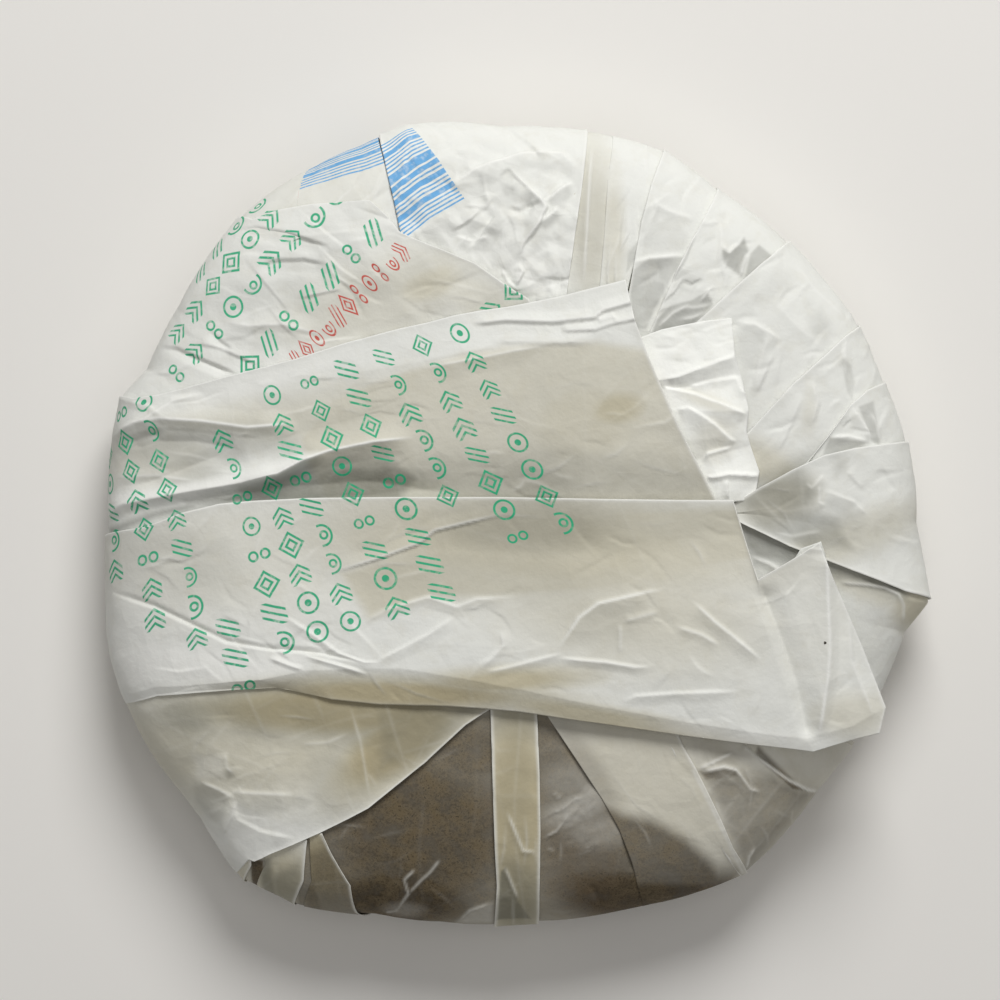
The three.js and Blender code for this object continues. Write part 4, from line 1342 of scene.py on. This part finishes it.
def lower_flap():
    lay_sheet("flap_lower_sheet", [
            [(112, 542, 1.5), (150, 527, 1.5), (186, 513, 1.5), (222, 504, 1.5), (253, 501, 1.6),
                (310, 498, 1.8), (400, 497, 2.2), (500, 497, 2.5), (600, 499, 2.8),
                (680, 500, 3.1), (730, 500, 3.4), (742, 540, 3.6), (754, 579, 3.9),
                (771, 569, 4.2), (788, 559, 4.4), (815, 542, 4.2)],
            [(110, 580, 1.4), (150, 570, 1.4), (186, 562, 1.4), (222, 556, 1.4), (253, 553, 1.5),
                (310, 550, 1.7), (400, 549, 2.1), (500, 550, 2.5), (600, 552, 2.9),
                (680, 554, 3.3), (727, 556, 3.6), (741, 582, 3.7), (758, 603, 3.8),
                (778, 596, 4.0), (798, 587, 3.9), (828, 575, 3.5)],
            [(109, 615, 1.5), (150, 608, 1.5), (186, 604, 1.5), (222, 602, 1.6), (253, 601, 1.8),
                (310, 598, 2.1), (400, 598, 2.6), (500, 600, 3.0), (600, 603, 3.4),
                (680, 606, 3.7), (725, 610, 4.0), (742, 620, 4.0), (764, 625, 3.9),
                (786, 620, 3.9), (809, 612, 3.6), (841, 605, 2.8)],
            [(113, 655, 1.4), (150, 650, 1.4), (190, 647, 1.4), (225, 646, 1.6), (258, 645, 1.9),
                (312, 644, 2.2), (400, 640, 2.9), (500, 645, 3.3), (600, 655, 3.5),
                (680, 668, 3.7), (725, 675, 3.8), (745, 680, 3.7), (770, 685, 3.5),
                (800, 682, 3.2), (832, 672, 3.0), (858, 644, 2.0)],
            [(121, 686, 1.3), (160, 685, 1.3), (198, 683, 1.3), (232, 680, 1.6), (262, 678, 2.0),
                (308, 669, 2.3), (404, 667, 3.0), (500, 684, 3.1), (599, 704, 3.1),
                (680, 719, 3.1), (725, 726, 3.1), (745, 729, 3.0), (772, 733, 2.9),
                (803, 736, 2.7), (848, 724, 2.4), (882, 705, 1.4)],
            [(122, 695, 0.9), (161, 694, 0.9), (198, 691, 0.9), (238, 688, 0.9), (280, 686, 1.0),
                (334, 698, 1.1), (429, 704, 1.4), (517, 711, 1.9), (599, 721, 2.2),
                (682, 733, 2.3), (728, 739, 2.3), (760, 743, 2.3), (787, 746, 2.2),
                (810, 749, 2.1), (850, 737, 1.6), (876, 731, 1.0)]], printed_paper, 19,
        curled=("first", "end"), ink=FLAP_PRINT, on_flap=True, creases=[
            fold(-0.4, (108, 588), (160, 605), (230, 640), (270, 647), (294, 649), (323, 652),
                (350, 658), (369, 663), left=0.8, right=0.38, fade=0.15),
            fold(0.3, (270, 655), (290, 663), (308, 669), left=0.6, right=0.6),
            fold(0.35, (302, 653), (347, 666), (372, 674), right=0.7),
            fold(0.45, (323, 575), (365, 562), (381, 557), (419, 543), (435, 530), (476, 520),
                (515, 511), left=1.6, right=0.38),
            fold(0.35, (279, 616), (291, 618), (317, 635), (340, 652), (365, 661), (387, 661)),
            fold(0.3, (366, 621), (386, 609), (429, 596), (457, 606), (477, 598), (520, 596),
                right=1.6),
            fold(0.3, (372, 663), (429, 633), (460, 612), right=1.6),
            fold(0.3, (480, 668), (503, 644), (501, 628)),
            fold(0.3, (482, 672), (520, 663), (545, 656), (566, 651)),
            fold(0.45, (553, 654), (578, 616), (597, 602), (649, 590), (666, 588), right=2.4),
            fold(0.4, (553, 656), (603, 660), (633, 665), (653, 665)),
            fold(0.2, (619, 621), (619, 653), left=0.8, right=0.8),
            fold(0.2, (619, 621), (658, 610), left=0.8, right=0.8),
            fold(0.3, (616, 704), (633, 694), (674, 691), (740, 689), right=1.5),
            fold(0.35, (687, 597), (712, 620), (732, 636), (760, 660), right=2),
            fold(0.25, (672, 624), (699, 633), (719, 645)),
            fold(-0.8, (757, 582), (777, 634), (793, 680), (806, 740), left=3, right=1.6,
                fade=0.1),
            fold(0.7, (822, 548), (826, 644), (824, 676), (815, 736), left=1.4, right=2.6,
                fade=0.1),
            fold(0.3, (845, 612), (848, 660), (872, 718), right=1.4)]
        + crumple(38, 90, ((130, 510), (860, 720)), 8, 2.4, length=(3, 12), height=(0.03, 0.16)),
        # The beige and dark tints here are painted shade on the turned-under band along the lower
        # edge and below the top edge, and tea showing through the middle with painted shade.
        crushed=((12.0, 0.22),), least=1.0, at_rim=0.4, stain_and_shade=[(400, 692, 170, 18, -2, 0.95),
            (600, 716, 150, 14, -11, 0.8), (850, 712, 40, 24, 0, 0.4),
            (540, 545, 250, 60, -3, 0.7), (620, 600, 150, 70, -10, 0.45),
            area(0.6, (340, 572), (381, 558), (420, 545), (436, 531), (520, 512), (740, 505),
                (752, 560), (600, 592), (480, 598), (430, 597), (370, 618), soft=1.2),
            (230, 560, 150, 60, 0, 0.25), (800, 610, 60, 80, 0, 0.12),
            (500, 680, 100, 16, 4, 0.85)], tea=[
            area(0.18, (420, 510), (520, 499), (738, 499), (745, 530), (600, 552), (500, 545),
                (440, 530), soft=1.6), (176, 560, 60, 40, -20, 0.2), (230, 612, 60, 10, -22, 0.06),
            (380, 520, 90, 16, 8, 0.08), (530, 524, 100, 30, 0, 0.4),
            (460, 575, 150, 30, -5, 0.16), (600, 622, 40, 24, 0, 0.14)], pale=[
            # Painted light on the lower left, which faces away, and at the band's right end.
            (740, 733, 90, 9, -7, 0.4), (262, 628, 60, 14, -14, 0.4), (140, 640, 40, 60, 0, 0.4),
            area(0.85, (116, 640), (180, 640), (240, 650), (310, 655), (305, 668), (262, 676),
                (180, 684), (120, 686), soft=1.4)], cell=FLAP_CELL)
    lay_sheet("flap_corner_behind", [
            [(786, 566, 3.4), (800, 560, 3.4), (822, 556, 3.3)],
            [(797, 548, 3.9), (806, 545, 3.9), (817, 541, 3.8)]], plain_paper, 40, on_flap=True,
        cell=0.3, rim=0.0)


def tea_crumb():
    """A dark speck that lies on the corner of the flap."""
    flap = bpy.data.objects["flap_lower_sheet"]
    spots = np.array([vertex.co for vertex in flap.data.vertices]) / MM
    middle = photo((821, 641))[0]
    nearest = np.hypot(*(spots[:, :2] - middle).T) < 0.3
    height = spots[nearest, 2].max()
    turns = np.arange(10) * math.pi / 5
    reach = 0.2 + 0.03 * np.cos(3 * turns)
    ring = np.column_stack([middle[0] + reach * np.cos(turns), middle[1] + reach * np.sin(turns),
                            np.full(10, height)])
    vertices = np.concatenate([ring, [[*middle, height + 0.1], [*middle, height - 0.1]]])
    faces = [face for k in range(10) for face in ([k, (k + 1) % 10, 10], [(k + 1) % 10, k, 11])]
    crumb_finish = Finish("dark_tea")
    place = crumb_finish.add("ShaderNodeTexCoord", output="Object")
    spotted = crumb_finish.noise(place, 4000.0)
    color = crumb_finish.mix_color(spotted, TEA_DEEP, TEA_DARK)
    crumb_finish.feed(crumb_finish.shader.inputs["Base Color"], color)
    new_piece("tea_crumb", vertices, faces, crumb_finish.material)


upper_left_layers()
right_pleats()
lower_layers()
crumpled_bunch()
upper_flap()
lower_flap()
tea_crumb()


# Camera and light

FRAME = 1000.0
CAMERA_CLEARANCE = 0.012


def make_camera():
    camera_data = bpy.data.cameras.new("camera")
    camera_data.lens = 220.0
    camera_data.sensor_width = 36.0
    camera = bpy.data.objects.new("camera", camera_data)
    pixel = MM / PIXELS_PER_MM
    distance = FRAME * pixel * camera_data.lens / camera_data.sensor_width
    offset_x = (FRAME / 2 - PHOTO_CENTRE[0]) * pixel
    offset_y = (PHOTO_CENTRE[1] - FRAME / 2) * pixel
    camera.location = (offset_x, offset_y, distance + CAMERA_CLEARANCE)
    bpy.context.scene.collection.objects.link(camera)
    bpy.context.scene.camera = camera


def soft_light(name, place, size, power, color):
    data = bpy.data.lights.new(name, "AREA")
    data.shape = "DISK"
    data.size = size
    data.energy = power
    data.color = color
    light = bpy.data.objects.new(name, data)
    light.location = place
    reach = np.array(place)
    flat = math.hypot(reach[0], reach[1])
    light.rotation_euler = (math.atan2(flat, reach[2]), 0.0, math.atan2(reach[0], -reach[1]))
    bpy.context.scene.collection.objects.link(light)


FLOOR_HALF = 1.5
STUDIO_GLOW = 0.16


def make_studio():
    floor_finish = Finish("pale_floor")
    floor_finish.shader.inputs["Base Color"].default_value = rgb(240, 238, 234)
    floor_finish.shader.inputs["Roughness"].default_value = 0.7
    mesh = bpy.data.meshes.new("floor")
    corners = [(-1, -1), (1, -1), (1, 1), (-1, 1)]
    mesh.from_pydata([(x * FLOOR_HALF, y * FLOOR_HALF, 0) for x, y in corners], [], [(0, 1, 2, 3)])
    mesh.materials.append(floor_finish.material)
    floor = bpy.data.objects.new("floor", mesh)
    bpy.context.scene.collection.objects.link(floor)

    world = bpy.data.worlds.new("studio")
    world.use_nodes = True
    background = world.node_tree.nodes["Background"]
    background.inputs["Color"].default_value = (1.0, 1.0, 1.0, 1.0)
    background.inputs["Strength"].default_value = STUDIO_GLOW
    bpy.context.scene.world = world
    soft_light("key", (0.10, 0.55, 0.54), 0.40, 4.3, (1.0, 0.995, 0.985))
    soft_light("fill", (0.10, -0.16, 0.95), 0.9, 1.7, (1.0, 0.97, 0.93))
    bpy.context.scene.view_settings.view_transform = "Standard"
    bpy.context.scene.view_settings.look = "None"


make_camera()
make_studio()
